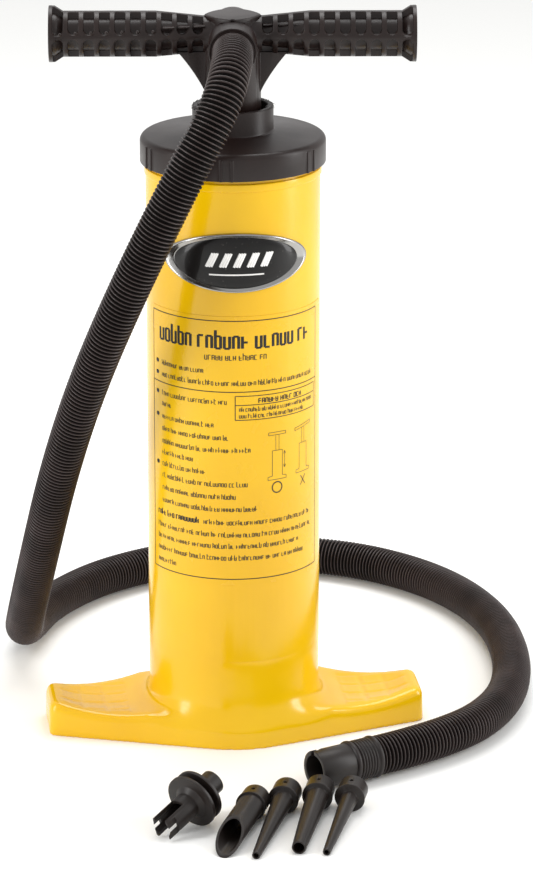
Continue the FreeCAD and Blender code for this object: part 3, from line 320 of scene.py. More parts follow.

# %% [markdown]
# ## Polyethylene of the hose
# The hose is blown polyethylene: softer than the handle, with a waxy sheen. Its fins are rubbed to a
# brownish grey on their crests. Between them they are painted near black: some dust, and painted shade
# in the grooves. The mesh says where the crests are, in an attribute that is 1 on a crest and 0 in a
# groove.

# %% Polyethylene of the hose
def finned_polyethylene():
    material, tree = new_finish("black_blown_polyethylene")
    coords = add_node(tree, "ShaderNodeTexCoord")
    crest = add_node(tree, "ShaderNodeAttribute", attribute_name="crest")
    cloud = add_node(tree, "ShaderNodeTexNoise", {"Vector": (coords, "Object"), "Scale": 35.0, "Detail": 5.0})
    worn = add_node(tree, "ShaderNodeValToRGB", {"Fac": (cloud, "Fac")}, stops=[
        (0.3, linear("#2b2220")), (0.75, linear("#453937")),
    ])
    # the crests' brownish grey is wear; the grooves' near black, #0c0908, is painted shade with some dust
    tone = add_node(tree, "ShaderNodeMix", {
        0: (crest, "Fac"), 6: linear("#0c0908"), 7: (worn, "Color"),
    }, data_type="RGBA")
    shine = add_node(tree, "ShaderNodeMapRange", {"Value": (crest, "Fac"), "To Min": 0.75, "To Max": 0.33})
    gleam = add_node(tree, "ShaderNodeMapRange", {"Value": (crest, "Fac"), "To Min": 0.08, "To Max": 0.42})
    grain = add_node(tree, "ShaderNodeTexNoise", {
        "Vector": (coords, "Object"), "Scale": 900.0, "Detail": 2.0,
    })
    bump = add_node(tree, "ShaderNodeBump", {"Height": (grain, "Fac"), "Strength": 0.15, "Distance": 0.0001})
    shader = add_node(tree, "ShaderNodeBsdfPrincipled", {
        "Base Color": (tone, 2), "Roughness": (shine, "Result"), "Specular IOR Level": (gleam, "Result"),
        "Normal": (bump, "Normal"), "IOR": 1.5,
    })
    finish_with(tree, shader)
    return material


hose_polyethylene = finned_polyethylene()
cuff_polyethylene = moulded_black("black_soft_polyethylene", "#1c1716", "#2f2826", 0.4, 700.0, 0.15)
rod_plastic = moulded_black("black_extruded_tube", "#1a1817", "#242120", 0.28, 900.0, 0.08)

# %% [markdown]
# ## Inner pieces
# The cylinder and the piston are natural polypropylene, a milky white. The seals are nitrile rubber,
# which is almost matt. The screws are zinc plated steel. They only show when the pump is drawn in section
# or taken apart, but each has its own finish all the same.

# %% Inner pieces
natural_polypropylene = moulded_black("natural_polypropylene", "#d9d7cf", "#e8e6de", 0.38, 900.0, 0.08)
nitrile_rubber = moulded_black("nitrile_rubber", "#141313", "#1c1b1b", 0.62, 1200.0, 0.3)


def plated(name, colour, roughness):
    """Metal plate: the reflection is blurred a little by fine scratches."""
    material, tree = new_finish(name)
    coords = add_node(tree, "ShaderNodeTexCoord")
    scratches = add_node(tree, "ShaderNodeTexNoise", {
        "Vector": (coords, "Object"), "Scale": 500.0, "Detail": 4.0,
    })
    blur = add_node(tree, "ShaderNodeMapRange", {
        "Value": (scratches, "Fac"), "To Min": roughness - 0.05, "To Max": roughness + 0.08,
    })
    shader = add_node(tree, "ShaderNodeBsdfPrincipled", {
        "Base Color": linear(colour), "Metallic": 1.0, "Roughness": (blur, "Result"),
    })
    finish_with(tree, shader)
    return material


zinc_plate = plated("zinc_plated_steel", "#b9bab8", 0.35)
chrome_plate = plated("chrome_plated_abs", "#a5a4a2", 0.16)

# %% [markdown]
# ## The badge's dark face and its white line
# The badge's face is black print under a clear dome, with metal flakes in the ink that catch the light as
# tiny dots. A cell pattern with a grain of about 0.7 mm gives the flakes. The line round it is white
# enamel.

# %% The badge's face and line
def flaked_ink():
    material, tree = new_finish("flaked_black_ink_under_dome")
    coords = add_node(tree, "ShaderNodeTexCoord")
    flakes = add_node(tree, "ShaderNodeTexVoronoi", {"Vector": (coords, "Object"), "Scale": 1400.0})
    bright = add_node(tree, "ShaderNodeValToRGB", {"Fac": (flakes, "Color")}, stops=[
        (0.90, linear("#0c0a09")), (0.97, linear("#5a5450")),
    ])
    cloud = add_node(tree, "ShaderNodeTexNoise", {"Vector": (coords, "Object"), "Scale": 60.0, "Detail": 3.0})
    ink = add_node(tree, "ShaderNodeValToRGB", {"Fac": (cloud, "Fac")}, stops=[
        (0.35, linear("#060505")), (0.75, linear("#161211")),
    ])
    mix = add_node(tree, "ShaderNodeMix", {
        0: 0.45, 6: (ink, "Color"), 7: (bright, "Color"),
    }, data_type="RGBA")
    shader = add_node(tree, "ShaderNodeBsdfPrincipled", {
        "Base Color": (mix, 2), "Roughness": 0.3, "Specular IOR Level": 0.2, "Coat Weight": 0.25,
        "Coat Roughness": 0.05,
    })
    finish_with(tree, shader)
    return material


def enamel(name, colour, roughness):
    """Thin even ink or enamel, thicker in places."""
    material, tree = new_finish(name)
    coords = add_node(tree, "ShaderNodeTexCoord")
    coat = add_node(tree, "ShaderNodeTexNoise", {"Vector": (coords, "Object"), "Scale": 300.0, "Detail": 3.0})
    blur = add_node(tree, "ShaderNodeMapRange", {
        "Value": (coat, "Fac"), "To Min": roughness, "To Max": roughness + 0.15,
    })
    shader = add_node(tree, "ShaderNodeBsdfPrincipled", {
        "Base Color": linear(colour), "Roughness": (blur, "Result"),
    })
    finish_with(tree, shader)
    return material


badge_ink = flaked_ink()
white_enamel = enamel("white_enamel", "#f4f2ef", 0.2)
label_ink = enamel("black_screen_ink", "#120e08", 0.5)

# %% [markdown]
# ## Finishes of the model's own pieces
# Each piece of the engineering model takes a finish by its job. A dictionary keeps that in one place.

# %% Finishes of the model's own pieces
FINISH_OF_SLOT = {
    "yellow_plastic": yellow_abs,
    "black_plastic": black_abs,
    "white_plastic": natural_polypropylene,
    "rod_plastic": rod_plastic,
    "seal_rubber": nitrile_rubber,
    "hose_plastic": hose_polyethylene,
    "silver_rim": chrome_plate,
    "badge_face": badge_ink,
    "label_film": clear_film,
    "screw_steel": zinc_plate,
}
slot_of = {row["node"]: row["material_slot"] for row in frame["record"]["subparts"]}
for node_name, node in frame["nodes"].items():
    for material_slot in node.material_slots:
        material_slot.material = FINISH_OF_SLOT[slot_of[node_name]]
print("finished model pieces:", len(frame["nodes"]))


def dress(piece, material, body=None):
    """Give a new piece its finish and the body that it moves with."""
    piece.data.materials.clear()
    piece.data.materials.append(material)
    if body is not None:
        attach(piece, body)
    return piece


# %% [markdown]
# ## Rounded edges
# A mould leaves no knife edges. The hard pieces are therefore copied from the model, their loose
# triangles are merged, flat stretches are dissolved into whole faces, and a narrow bevel rounds what is
# left of the sharp edges. It is the bevel that catches the light along each rib of the handle.

# %% Rounded edges
def rounded_copy(node_name, name, width, body, material, segments=2):
    """A copy of a model piece with its sharp edges rounded, in place of that piece."""
    node = frame["nodes"][node_name]
    piece = bpy.data.objects.new(name, node.data.copy())
    bpy.context.scene.collection.objects.link(piece)
    piece.data.transform(node.matrix_world)
    work_on(piece)
    bpy.ops.mesh.customdata_custom_splitnormals_clear()
    bpy.ops.object.mode_set(mode="EDIT")
    bpy.ops.mesh.select_all(action="SELECT")
    bpy.ops.mesh.remove_doubles(threshold=0.00001)
    bpy.ops.mesh.dissolve_limited(angle_limit=math.radians(0.5))
    bpy.ops.object.mode_set(mode="OBJECT")
    add_modifier(
        piece, "BEVEL", width=width, segments=segments, limit_method="ANGLE",
        angle_limit=math.radians(38), use_clamp_overlap=False, loop_slide=False, miter_outer="MITER_ARC",
    )
    smooth(piece, 40)
    dress(piece, material, body)
    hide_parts(node_name)
    print(name, "triangles:", triangles(piece))
    return piece


ROUNDED_PIECES = [
    # model piece, new name, bevel in mm, body, finish, slot
    ("handle", "handle_moulding", 0.35, "plunger", black_abs, "black_plastic"),
    ("hub_cover", "hub_lid_moulding", 0.35, "plunger", black_abs, "black_plastic"),
    ("screw_cap", "screw_cap_moulding", 0.4, "cap", black_abs, "black_plastic"),
    ("valve_adapter", "valve_adapter_moulding", 0.3, "valve_adapter", nozzle_black, "black_plastic"),
    ("nozzle_fine", "fine_nozzle_moulding", 0.3, "nozzle_fine", nozzle_black, "black_plastic"),
    ("nozzle_wide", "wide_nozzle_moulding", 0.3, "nozzle_wide", nozzle_black, "black_plastic"),
    ("nozzle_slim", "slim_nozzle_moulding", 0.3, "nozzle_slim", nozzle_black, "black_plastic"),
    ("nozzle_oblique", "oblique_nozzle_moulding", 0.25, "nozzle_oblique", nozzle_black, "black_plastic"),
]
for node_name, name, bevel_mm, body, material, slot in ROUNDED_PIECES:
    rounded_copy(node_name, name, bevel_mm * MM, body, material)

# %% [markdown]
# ## Webs and pin marks in the grip's pockets
# The three pockets nearest the hub have a thin level web, and each of the others shows a small round mark
# low on its floor, left by the pin that pushes the moulding out of its tool. A web starts as a cube
# scaled to a slat and bevelled, a mark as a sphere pressed flat. Each is made once and copied along the
# grip, front and back.

# %% Webs and pin marks
GRIP_AXIS = 0.4628
POCKET_FIRST = 22 * MM
POCKET_PITCH = 9.85 * MM
POCKET_WIDTH = 6.8 * MM
POCKET_DEPTH = 4 * MM
POCKETS = 10
WEBBED_POCKETS = 3
WEB_RISE = 6.8 * MM                    # above the grip's axis
WEB_INSET = 3.4 * MM                   # its middle lies this far inside the grip's surface
WEB_DEPTH = 5.6 * MM
WEB_THICK = 0.9 * MM
MARK_RISE = 4.4 * MM
MARK_RADIUS = 1.15 * MM
MARK_STAND = 0.15 * MM


def grip_radius(x):
    """The grip's radius at a distance x from the hub: waist, round grip, flare."""
    waist, full, flange = 11.6 * MM, 14.65 * MM, 18 * MM
    if x < 49 * MM:
        return waist + (full - waist) * max(0, min(1, (x - 19 * MM) / (30 * MM)))
    return full + (flange - full) * max(0, min(1, (x - 107.5 * MM) / (5.2 * MM)))


def copy_of(piece, place):
    """A copy at a place, with its own mesh."""
    twin = bpy.data.objects.new(piece.name, piece.data.copy())
    bpy.context.scene.collection.objects.link(twin)
    twin.data.transform(Matrix.Translation(place))
    return twin


def joined(name, pieces):
    """All pieces as one."""
    work_on(pieces[0])
    for piece in pieces:
        piece.select_set(True)
    bpy.ops.object.join()
    pieces[0].name = name
    return pieces[0]


bpy.ops.object.select_all(action="DESELECT")
bpy.ops.mesh.primitive_cube_add(size=1)
web = bpy.context.object
bpy.ops.object.mode_set(mode="EDIT")
bpy.ops.mesh.select_all(action="SELECT")
bpy.ops.transform.resize(value=(POCKET_WIDTH + 0.4 * MM, WEB_DEPTH, WEB_THICK))
bpy.ops.mesh.bevel(offset=0.25 * MM, segments=2, affect="EDGES")
bpy.ops.object.mode_set(mode="OBJECT")
bpy.ops.object.select_all(action="DESELECT")
bpy.ops.mesh.primitive_uv_sphere_add(segments=16, ring_count=10, radius=MARK_RADIUS)
mark = bpy.context.object
bpy.ops.object.mode_set(mode="EDIT")
bpy.ops.mesh.select_all(action="SELECT")
bpy.ops.transform.resize(value=(1, 0.75, 1))
bpy.ops.object.mode_set(mode="OBJECT")

grip_details = []
for pocket in range(POCKETS):
    distance = POCKET_FIRST + pocket * POCKET_PITCH
    outer = grip_radius(distance)
    for side in (1, -1):
        for facing in (-1, 1):
            if pocket < WEBBED_POCKETS:
                surface = math.sqrt(outer ** 2 - WEB_RISE ** 2) - WEB_INSET
                place = (side * distance, facing * surface, GRIP_AXIS + WEB_RISE)
                grip_details.append(copy_of(web, place))
            else:
                surface = math.sqrt((outer - POCKET_DEPTH) ** 2 - MARK_RISE ** 2)
                place = (side * distance, facing * (surface + MARK_STAND), GRIP_AXIS + MARK_RISE)
                grip_details.append(copy_of(mark, place))
bpy.data.objects.remove(web)
bpy.data.objects.remove(mark)
print("webs and marks:", len(grip_details))
grip_webs = joined("grip_webs_and_pin_marks", grip_details)
smooth(grip_webs, 40)
dress(grip_webs, black_abs, "plunger")

# %% [markdown]
# ## The yellow body
# The outer body is one blow moulding, so its foot is soft: every edge of the wings is rounded by several
# millimetres, the wings' tops are dished and carry low square treads, and the tube flows into the foot's
# front. Fillets alone don't give that. The model's shell is cut level above the foot, and the foot is
# remeshed to an even grid and relaxed, more above and less near the floor, where the mould parts and the
# edge is crisp. The dish and the treads are then pressed into the tops. The relaxed foot goes a little
# under the tube's cut edge, and the two are joined into one piece.

# %% The yellow body
FOOT_CUT = 64 * MM
FOOT_LAP = 5 * MM
WING_REACH = 124 * MM
WING_END_DEPTH = 21 * MM
WING_TAPER = 0.3584                    # the wings get deeper by this much for each mm towards the tube
TREAD_PITCH = 15.5 * MM
TREAD_GAP = 2.4 * MM
TREAD_HEIGHT = 0.45 * MM
TREAD_EDGE = 0.8 * MM
TREAD_START = 70 * MM
TREADS = 3
DISH_DEPTH = 1.6 * MM
LAP_DEPTH = 0.06 * MM


def step_up(value, low, high):
    """0 below low, 1 above high, smooth between."""
    share = max(0.0, min(1.0, (value - low) / (high - low)))
    return share * share * (3 - 2 * share)


def plateau(value, low, high, edge):
    """1 between low and high, falling smoothly to 0 over an edge inside each."""
    return step_up(value, low, low + edge) * (1 - step_up(value, high - edge, high))


def shell_copy(name, level, keep_above):
    """The model's shell on one side of a level cut."""
    node = frame["nodes"]["body_shell"]
    piece = bpy.data.objects.new(name, node.data.copy())
    bpy.context.scene.collection.objects.link(piece)
    piece.data.transform(node.matrix_world)
    work_on(piece)
    bpy.ops.mesh.customdata_custom_splitnormals_clear()
    bpy.ops.object.mode_set(mode="EDIT")
    bpy.ops.mesh.select_all(action="SELECT")
    bpy.ops.mesh.remove_doubles(threshold=0.00001)
    bpy.ops.mesh.select_all(action="SELECT")
    bpy.ops.mesh.bisect(
        plane_co=(0, 0, level), plane_no=(0, 0, 1), use_fill=True,
        clear_inner=keep_above, clear_outer=not keep_above,
    )
    bpy.ops.object.mode_set(mode="OBJECT")
    return piece


def tread_mask(along, across, half_depth):
    """1 on a tread, 0 between treads and near the wing's edges."""
    cell_x = (along - TREAD_START) % TREAD_PITCH
    cell_y = (across + TREAD_PITCH / 2) % TREAD_PITCH
    low = TREAD_GAP / 2
    high = TREAD_PITCH - TREAD_GAP / 2
    on_tread = plateau(cell_x, low, high, TREAD_EDGE) * plateau(cell_y, low, high, TREAD_EDGE)
    in_row = plateau(along, TREAD_START, TREAD_START + TREADS * TREAD_PITCH, TREAD_EDGE)
    return on_tread * in_row * (1 - step_up(abs(across), half_depth - 9 * MM, half_depth - 7.5 * MM))


foot = shell_copy("foot", FOOT_CUT, keep_above=False)
add_modifier(foot, "REMESH", mode="VOXEL", voxel_size=1.3 * MM, use_smooth_shade=True)
relax = foot.vertex_groups.new(name="relax")
for vertex in foot.data.vertices:
    height = vertex.co.z
    relax.add([vertex.index], 0.05 + 0.95 * step_up(height, 1 * MM, 9 * MM), "REPLACE")
add_modifier(foot, "SMOOTH", factor=0.5, iterations=45, vertex_group="relax")
flow = foot.vertex_groups.new(name="flow")
for vertex in foot.data.vertices:
    x, y, z = vertex.co
    level_share = step_up(z, 11 * MM, 17 * MM) * (1 - step_up(z, 44 * MM, 56 * MM))
    flow.add([vertex.index], level_share * (1 - step_up(abs(x), 38 * MM, 62 * MM)), "REPLACE")
add_modifier(foot, "SMOOTH", factor=0.5, iterations=260, vertex_group="flow")
facing_up = [vertex.normal.z for vertex in foot.data.vertices]
for vertex, upward in zip(foot.data.vertices, facing_up):
    x, y, z = vertex.co
    along = abs(x)
    half_depth = WING_END_DEPTH + WING_TAPER * (WING_REACH - along)
    top = step_up(upward, 0.45, 0.8) * step_up(z, 12 * MM, 15 * MM)
    dish = (1 - step_up(abs(y), 0.3 * half_depth, half_depth - 4 * MM))
    dish *= step_up(along, 63 * MM, 76 * MM) * (1 - step_up(along, 104 * MM, 119 * MM))
    z += top * (TREAD_HEIGHT * tread_mask(along, y, half_depth) - DISH_DEPTH * dish)
    lap = LAP_DEPTH * step_up(z, FOOT_CUT - FOOT_LAP - 4 * MM, FOOT_CUT - FOOT_LAP)
    radius = math.hypot(x, y)
    if radius > 50 * MM and z > 40 * MM:
        x -= x / radius * lap
        y -= y / radius * lap
    vertex.co = (x, y, z)
tube = shell_copy("tube", FOOT_CUT - FOOT_LAP, keep_above=True)
smooth(tube, 30)
foot.data.shade_smooth()
body_moulding = joined("yellow_body_moulding", [foot, tube])
dress(body_moulding, yellow_abs, "base")
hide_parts("body_shell")
print("body triangles:", triangles(body_moulding))

# %% [markdown]
# ## The ribbed hose
# The hose is blown into a tool with narrow round fins every 2.8 mm, so that it bends without kinking. It
# could be made with an array along a curve, but then its length could not be checked against its line.
# Here a ring of points is set at each of eight places per fin, square to the line, and neighbouring rings
# are bridged with faces. The frame that carries the rings is turned only as much as the line turns, so
# the fins never twist. The real hose bends where the pump moves; here it is three lengths that meet in
# the bottom of a groove.

# %% The ribbed hose
FIN_PITCH = 2.8 * MM
FIN_DEPTH = 1.9 * MM
# across one fin: (share of the pitch, share of the fin's depth below its crest)
FIN_SHAPE = [
    (0.0, 1.0), (0.28, 1.0), (0.34, 0.4), (0.41, 0.07), (0.5, 0.0), (0.59, 0.07), (0.66, 0.4), (0.72, 1.0),
]
HOSE_SIDES = 28


def carried_frames(line):
    """Two square directions at each point of a line, turned only as much as the line turns."""
    frames = []
    along = (line[1] - line[0]).normalized()
    across = along.orthogonal().normalized()
    for i, place in enumerate(line):
        following = (line[min(i + 1, len(line) - 1)] - line[max(i - 1, 0)]).normalized()
        across = (along.rotation_difference(following) @ across).normalized()
        along = following
        frames.append((place, across, along.cross(across).normalized()))
    return frames


def ribbed_tube(name, rings):
    """A closed tube through rings of (place, across, up, radius)."""
    vertices = []
    faces = []
    for place, across, up, radius in rings:
        for side in range(HOSE_SIDES):
            angle = 2 * math.pi * side / HOSE_SIDES
            vertices.append(place + (across * math.cos(angle) + up * math.sin(angle)) * radius)
    for ring in range(len(rings) - 1):
        for side in range(HOSE_SIDES):
            following = (side + 1) % HOSE_SIDES
            low = ring * HOSE_SIDES
            high = low + HOSE_SIDES
            faces.append((low + side, low + following, high + following, high + side))
    faces.append(tuple(reversed(range(HOSE_SIDES))))
    last = (len(rings) - 1) * HOSE_SIDES
    faces.append(tuple(range(last, last + HOSE_SIDES)))
    piece = new_piece(name, vertices, faces)
    piece.data.shade_smooth()
    floor_rings = (1, len(FIN_SHAPE) - 1)
    for edge in piece.data.edges:
        low_ring, high_ring = (index // HOSE_SIDES for index in sorted(edge.vertices))
        if low_ring == high_ring:
            cap_edge = low_ring in (0, len(rings) - 1)
            edge.use_edge_sharp = cap_edge or low_ring % len(FIN_SHAPE) in floor_rings
    # this crest share also sets the painted shade in the grooves, in the hose's finish
    crest = piece.data.attributes.new("crest", "FLOAT", "POINT")
    for index, (place, across, up, radius) in enumerate(rings):
        share = 1 - (HOSE_RADIUS - radius) / FIN_DEPTH
        for side in range(HOSE_SIDES):
            crest.data[index * HOSE_SIDES + side].value = share
    return piece


fin_line = stations(hose_line, FIN_PITCH)
fin_frames = carried_frames(fin_line)
fin_count = len(fin_line) - 1
hose_rings = []
for fin in range(fin_count):
    place, across, up = fin_frames[fin]
    next_place, next_across, next_up = fin_frames[fin + 1]
    for share, depth in FIN_SHAPE:
        hose_rings.append((
            place.lerp(next_place, share),
            across.lerp(next_across, share).normalized(),
            up.lerp(next_up, share).normalized(),
            HOSE_RADIUS - FIN_DEPTH * depth,
        ))
hose_rings.append((*fin_frames[-1], HOSE_RADIUS - FIN_DEPTH))

TOP_SPLIT_LEVEL = 0.330                # the hose's top length ends where it first falls below here
REAR_SPLIT_X = -0.020                  # past here, behind the pump, the hose stays on the floor
first_split = next(i for i, place in enumerate(fin_line) if place.z < TOP_SPLIT_LEVEL)
second_split = next(i for i, place in enumerate(fin_line) if place.y > 0.2 and place.x > REAR_SPLIT_X)
print("fins:", fin_count, "splits after fins", first_split, second_split)


def hose_length(name, node_name, first_fin, last_fin):
    """One length of the hose, from one fin's groove to another's."""
    per_fin = len(FIN_SHAPE)
    piece = ribbed_tube(name, hose_rings[first_fin * per_fin:last_fin * per_fin + 1])
    dress(piece, hose_polyethylene)
    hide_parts(node_name)
    return piece


ribbed_top = hose_length("hose_ribbed_top", "hose_top", 0, first_split)
ribbed_drop = hose_length("hose_ribbed_drop", "hose_drop", first_split, second_split)
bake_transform(ribbed_top)
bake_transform(ribbed_drop)

# %% [markdown]
# ## The cuff and the end connector
# The hose ends in a soft cuff with a bead at each end and close ribs between them, and a hard connector
# with two bayonet slots is pushed into it. The cuff is turned: one point is extruded into a profile and
# spun about the hose's end.

# %% The cuff
def turned_piece(name, profile, place, along):
    """Spin a profile of (radius, distance along the axis) about the axis from place, towards along."""
    bpy.ops.object.select_all(action="DESELECT")
    bpy.ops.mesh.primitive_plane_add(size=MM)
    piece = bpy.context.object
    piece.name = name
    bpy.ops.object.mode_set(mode="EDIT")
    bpy.ops.mesh.select_all(action="SELECT")
    bpy.ops.mesh.merge(type="CENTER")
    radius, distance = profile[0]
    bpy.ops.transform.translate(value=(radius, 0, distance))
    for (radius, distance), (next_radius, next_distance) in zip(profile, profile[1:]):
        bpy.ops.mesh.extrude_region_move(
            TRANSFORM_OT_translate={"value": (next_radius - radius, 0, next_distance - distance)}
        )
    bpy.ops.mesh.select_all(action="SELECT")
    bpy.ops.mesh.spin(steps=64, angle=2 * math.pi, center=(0, 0, 0), axis=(0, 0, 1))
    bpy.ops.mesh.select_all(action="SELECT")
    bpy.ops.mesh.remove_doubles(threshold=0.000005)
    bpy.ops.mesh.normals_make_consistent(inside=False)
    bpy.ops.object.mode_set(mode="OBJECT")
    turn = Vector((0, 0, 1)).rotation_difference(Vector(along)).to_matrix().to_4x4()
    piece.data.transform(Matrix.Translation(place) @ turn)
    return piece


def bead(distance, width, radius, height):
    """Profile of a round bead: points over it from one foot to the other."""
    points = []
    for i in range(7):
        angle = math.pi * i / 6
        points.append((radius + height * math.sin(angle), distance - width / 2 * math.cos(angle)))
    return points


CUFF_LENGTH = 21 * MM
CUFF_BORE = 10.5 * MM
hose_end = Vector(HOSE_ROUTE[-1])
end_way = (hose_end - Vector(HOSE_ROUTE[-2])).normalized()
rib_radius = 12.5 * MM
cuff_profile = [(CUFF_BORE, 0.0), (rib_radius, 0.0)]
cuff_profile += bead(1.9 * MM, 3.0 * MM, 12.9 * MM, 0.9 * MM)
for rib in range(6):
    cuff_profile += bead(5.4 * MM + rib * 2.1 * MM, 1.5 * MM, rib_radius, 0.7 * MM)
cuff_profile += bead(CUFF_LENGTH - 1.9 * MM, 3.0 * MM, 12.9 * MM, 0.9 * MM)
cuff_profile += [(rib_radius, CUFF_LENGTH), (CUFF_BORE, CUFF_LENGTH), (CUFF_BORE, 0.0)]
cuff = turned_piece("hose_ribbed_cuff", cuff_profile, hose_end, end_way)
smooth(cuff, 50)
dress(cuff, cuff_polyethylene, "base")
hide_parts("hose_cuff")
connector = rounded_copy(
    "hose_end_connector", "end_connector_moulding", 0.35 * MM, "base", nozzle_black
)
ribbed_floor = hose_length(
    "hose_ribbed_floor", "hose_floor", second_split, fin_count
)
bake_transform(ribbed_floor)

# %% [markdown]
# ## The badge
# The badge is a pressed oval: a chromed rim with a sloped outside, a narrow flat top and a bright slope
# inside, and a dark domed face. Each is drawn flat: a circle is scaled to an oval, then extruded and
# resized ring by ring. It is then laid round the tube, a little to the left of the foot's middle. The
# mark on the face is a plain one, five slanted bars over a line.

# %% The badge
TUBE_RADIUS = 56 * MM
BADGE_LEVEL = 327.2 * MM
BADGE_TURN = math.radians(-3.8)
RIM_RINGS = [  # half width, half height and stand off the tube, in mm
    (44.3, 19.4, -0.3), (44.5, 19.5, 0.4), (43.9, 19.2, 1.5), (43.0, 18.8, 1.9), (42.3, 18.4, 1.9),
    (41.9, 18.2, 1.6), (39.0, 16.8, 0.9), (38.5, 16.5, 0.5), (38.3, 16.4, -0.3),
]
FACE_RINGS = [
    (1.0, 0.4, -0.3), (38.7, 16.5, -0.3), (38.7, 16.5, 0.5), (37.6, 16.0, 0.85), (32.0, 13.6, 1.1),
    (22.0, 9.4, 1.3), (12.0, 5.1, 1.4), (4.0, 1.7, 1.45), (1.0, 0.4, 1.45),
]


def oval_rings(name, rings, closed_loop):
    """An oval extruded ring by ring, drawn upright about the origin with its front towards minus Y."""
    bpy.ops.object.select_all(action="DESELECT")
    bpy.ops.mesh.primitive_circle_add(vertices=160, radius=MM, rotation=(math.pi / 2, 0, 0))
    piece = bpy.context.object
    piece.name = name
    bpy.ops.object.transform_apply(location=False, rotation=True, scale=False)
    bpy.ops.object.mode_set(mode="EDIT")
    bpy.ops.mesh.select_all(action="SELECT")
    half_width, half_height, stand = rings[0]
    bpy.ops.transform.resize(value=(half_width, 1, half_height))
    bpy.ops.transform.translate(value=(0, -stand * MM, 0))
    for following in rings[1:]:
        bpy.ops.mesh.extrude_region()
        bpy.ops.transform.resize(value=(following[0] / half_width, 1, following[1] / half_height))
        bpy.ops.transform.translate(value=(0, (stand - following[2]) * MM, 0))
        half_width, half_height, stand = following
    bpy.ops.mesh.select_all(action="DESELECT")
    bpy.ops.mesh.select_non_manifold()
    if closed_loop:
        bpy.ops.mesh.bridge_edge_loops()
    else:
        bpy.ops.mesh.fill_holes(sides=0)
    bpy.ops.mesh.select_all(action="SELECT")
    bpy.ops.mesh.normals_make_consistent(inside=False)
    bpy.ops.object.mode_set(mode="OBJECT")
    return piece


def lay_on_tube(piece, level, turn):
    """Press a flat drawing straight onto the front of the tube, then turn it about the tube."""
    for vertex in piece.data.vertices:
        x, y, z = vertex.co
        side = math.asin(max(-1, min(1, x / TUBE_RADIUS))) + turn
        radius = TUBE_RADIUS - y
        vertex.co = (radius * math.sin(side), -radius * math.cos(side), z + level)


badge_rim = oval_rings("badge_chromed_rim", RIM_RINGS, closed_loop=True)
lay_on_tube(badge_rim, BADGE_LEVEL, BADGE_TURN)
smooth(badge_rim, 50)
dress(badge_rim, chrome_plate, "base")
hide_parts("badge_rim")
badge_face = oval_rings("badge_domed_face", FACE_RINGS, closed_loop=False)
lay_on_tube(badge_face, BADGE_LEVEL, BADGE_TURN)
smooth(badge_face, 50)
dress(badge_face, badge_ink, "base")
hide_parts("badge_face")
print("badge reaches out to, mm:", round(max(-vertex.co.y for vertex in badge_rim.data.vertices) / MM, 2))

# %% [markdown]
# ## Printed marks
# Print is thin ink. A stroke is a short line with a round section, so a whole print can be one curve
# object with many lines, each with its own half width. It is turned to a mesh, pressed flat and wrapped
# round the tube.

# %% Printed marks
INK_HEIGHT = 0.06 * MM


def printed(name, strokes):
    """Strokes of (points in X and Z, half width) as flat closed ink, drawn upright at y = 0."""
    curve = bpy.data.curves.new(name, "CURVE")
    curve.dimensions = "3D"
    curve.bevel_depth = 1.0
    curve.bevel_resolution = 1
    curve.use_fill_caps = True
    for points, half_width in strokes:
        spline = curve.splines.new("POLY")
        spline.points.add(len(points) - 1)
        for control, (x, z) in zip(spline.points, points):
            control.co = (x, 0, z, 1)
            control.radius = half_width
    piece = bpy.data.objects.new(name, curve)
    bpy.context.scene.collection.objects.link(piece)
    work_on(piece)
    bpy.ops.object.convert(target="MESH")
    piece = bpy.context.object
    for vertex in piece.data.vertices:
        vertex.co.y = max(-INK_HEIGHT, min(INK_HEIGHT, vertex.co.y))
    return piece


def disc(x, z, radius):
    """A filled dot, as one short stroke that swells to its middle."""
    shares = (-1, -0.9, -0.7, -0.35, 0, 0.35, 0.7, 0.9, 1)
    return [
        ([(x + radius * near, z), (x + radius * far, z)], radius * math.sqrt(1 - ((near + far) / 2) ** 2))
        for near, far in zip(shares, shares[1:])
    ]


BARS = 5
BAR_PITCH = 8.5 * MM
BAR_LOW = -2.5 * MM
BAR_HIGH = 6.5 * MM
BAR_SLANT = 4 * MM
LINE_LEVEL = -7.5 * MM
LINE_HALF_LENGTH = 17 * MM
LINE_STEPS = 10
badge_bars = []
for bar in range(BARS):
    foot_x = (bar - 2.2) * BAR_PITCH
    for shift in (0.0, 1.5 * MM, 3.0 * MM):      # three strokes side by side make a broad bar
        x = foot_x + shift
        badge_bars.append(([(x, BAR_LOW), (x + BAR_SLANT, BAR_HIGH)], 0.9 * MM))
line_points = [
    (-LINE_HALF_LENGTH + i * 2 * LINE_HALF_LENGTH / LINE_STEPS, LINE_LEVEL) for i in range(LINE_STEPS + 1)
]
badge_bars.append((line_points, 0.55 * MM))
badge_mark = printed("badge_slanted_bars", badge_bars)
for vertex in badge_mark.data.vertices:
    share = math.hypot(vertex.co.x / (38.7 * MM), vertex.co.z / (16.5 * MM))
    vertex.co.y -= (1.62 - 0.45 * share ** 2) * MM
lay_on_tube(badge_mark, BADGE_LEVEL, BADGE_TURN)
dress(badge_mark, white_enamel, "base")

# %% [markdown]
# ## The label's print
# The label is a clear film with black print: a frame, a title line, short paragraphs with round bullets,
# a small table and two drawings, one with a ring and one with a cross. The lines of print are made of
# marks in no alphabet: each mark has an upright, sometimes a second one, and one or two bars at heights
# picked by a seeded generator, so that from a distance it reads as print and says nothing.

# %% The label's print
film_node = frame["nodes"]["label_film"]
FILM_RADIUS = max(math.hypot(*(film_node.matrix_world @ vertex.co).xy) for vertex in film_node.data.vertices)
picker = random.Random(7)


def at(degrees, level):
    """A place on the unrolled label: angle round the tube and height in mm."""
    return (math.radians(degrees) * FILM_RADIUS, level * MM)


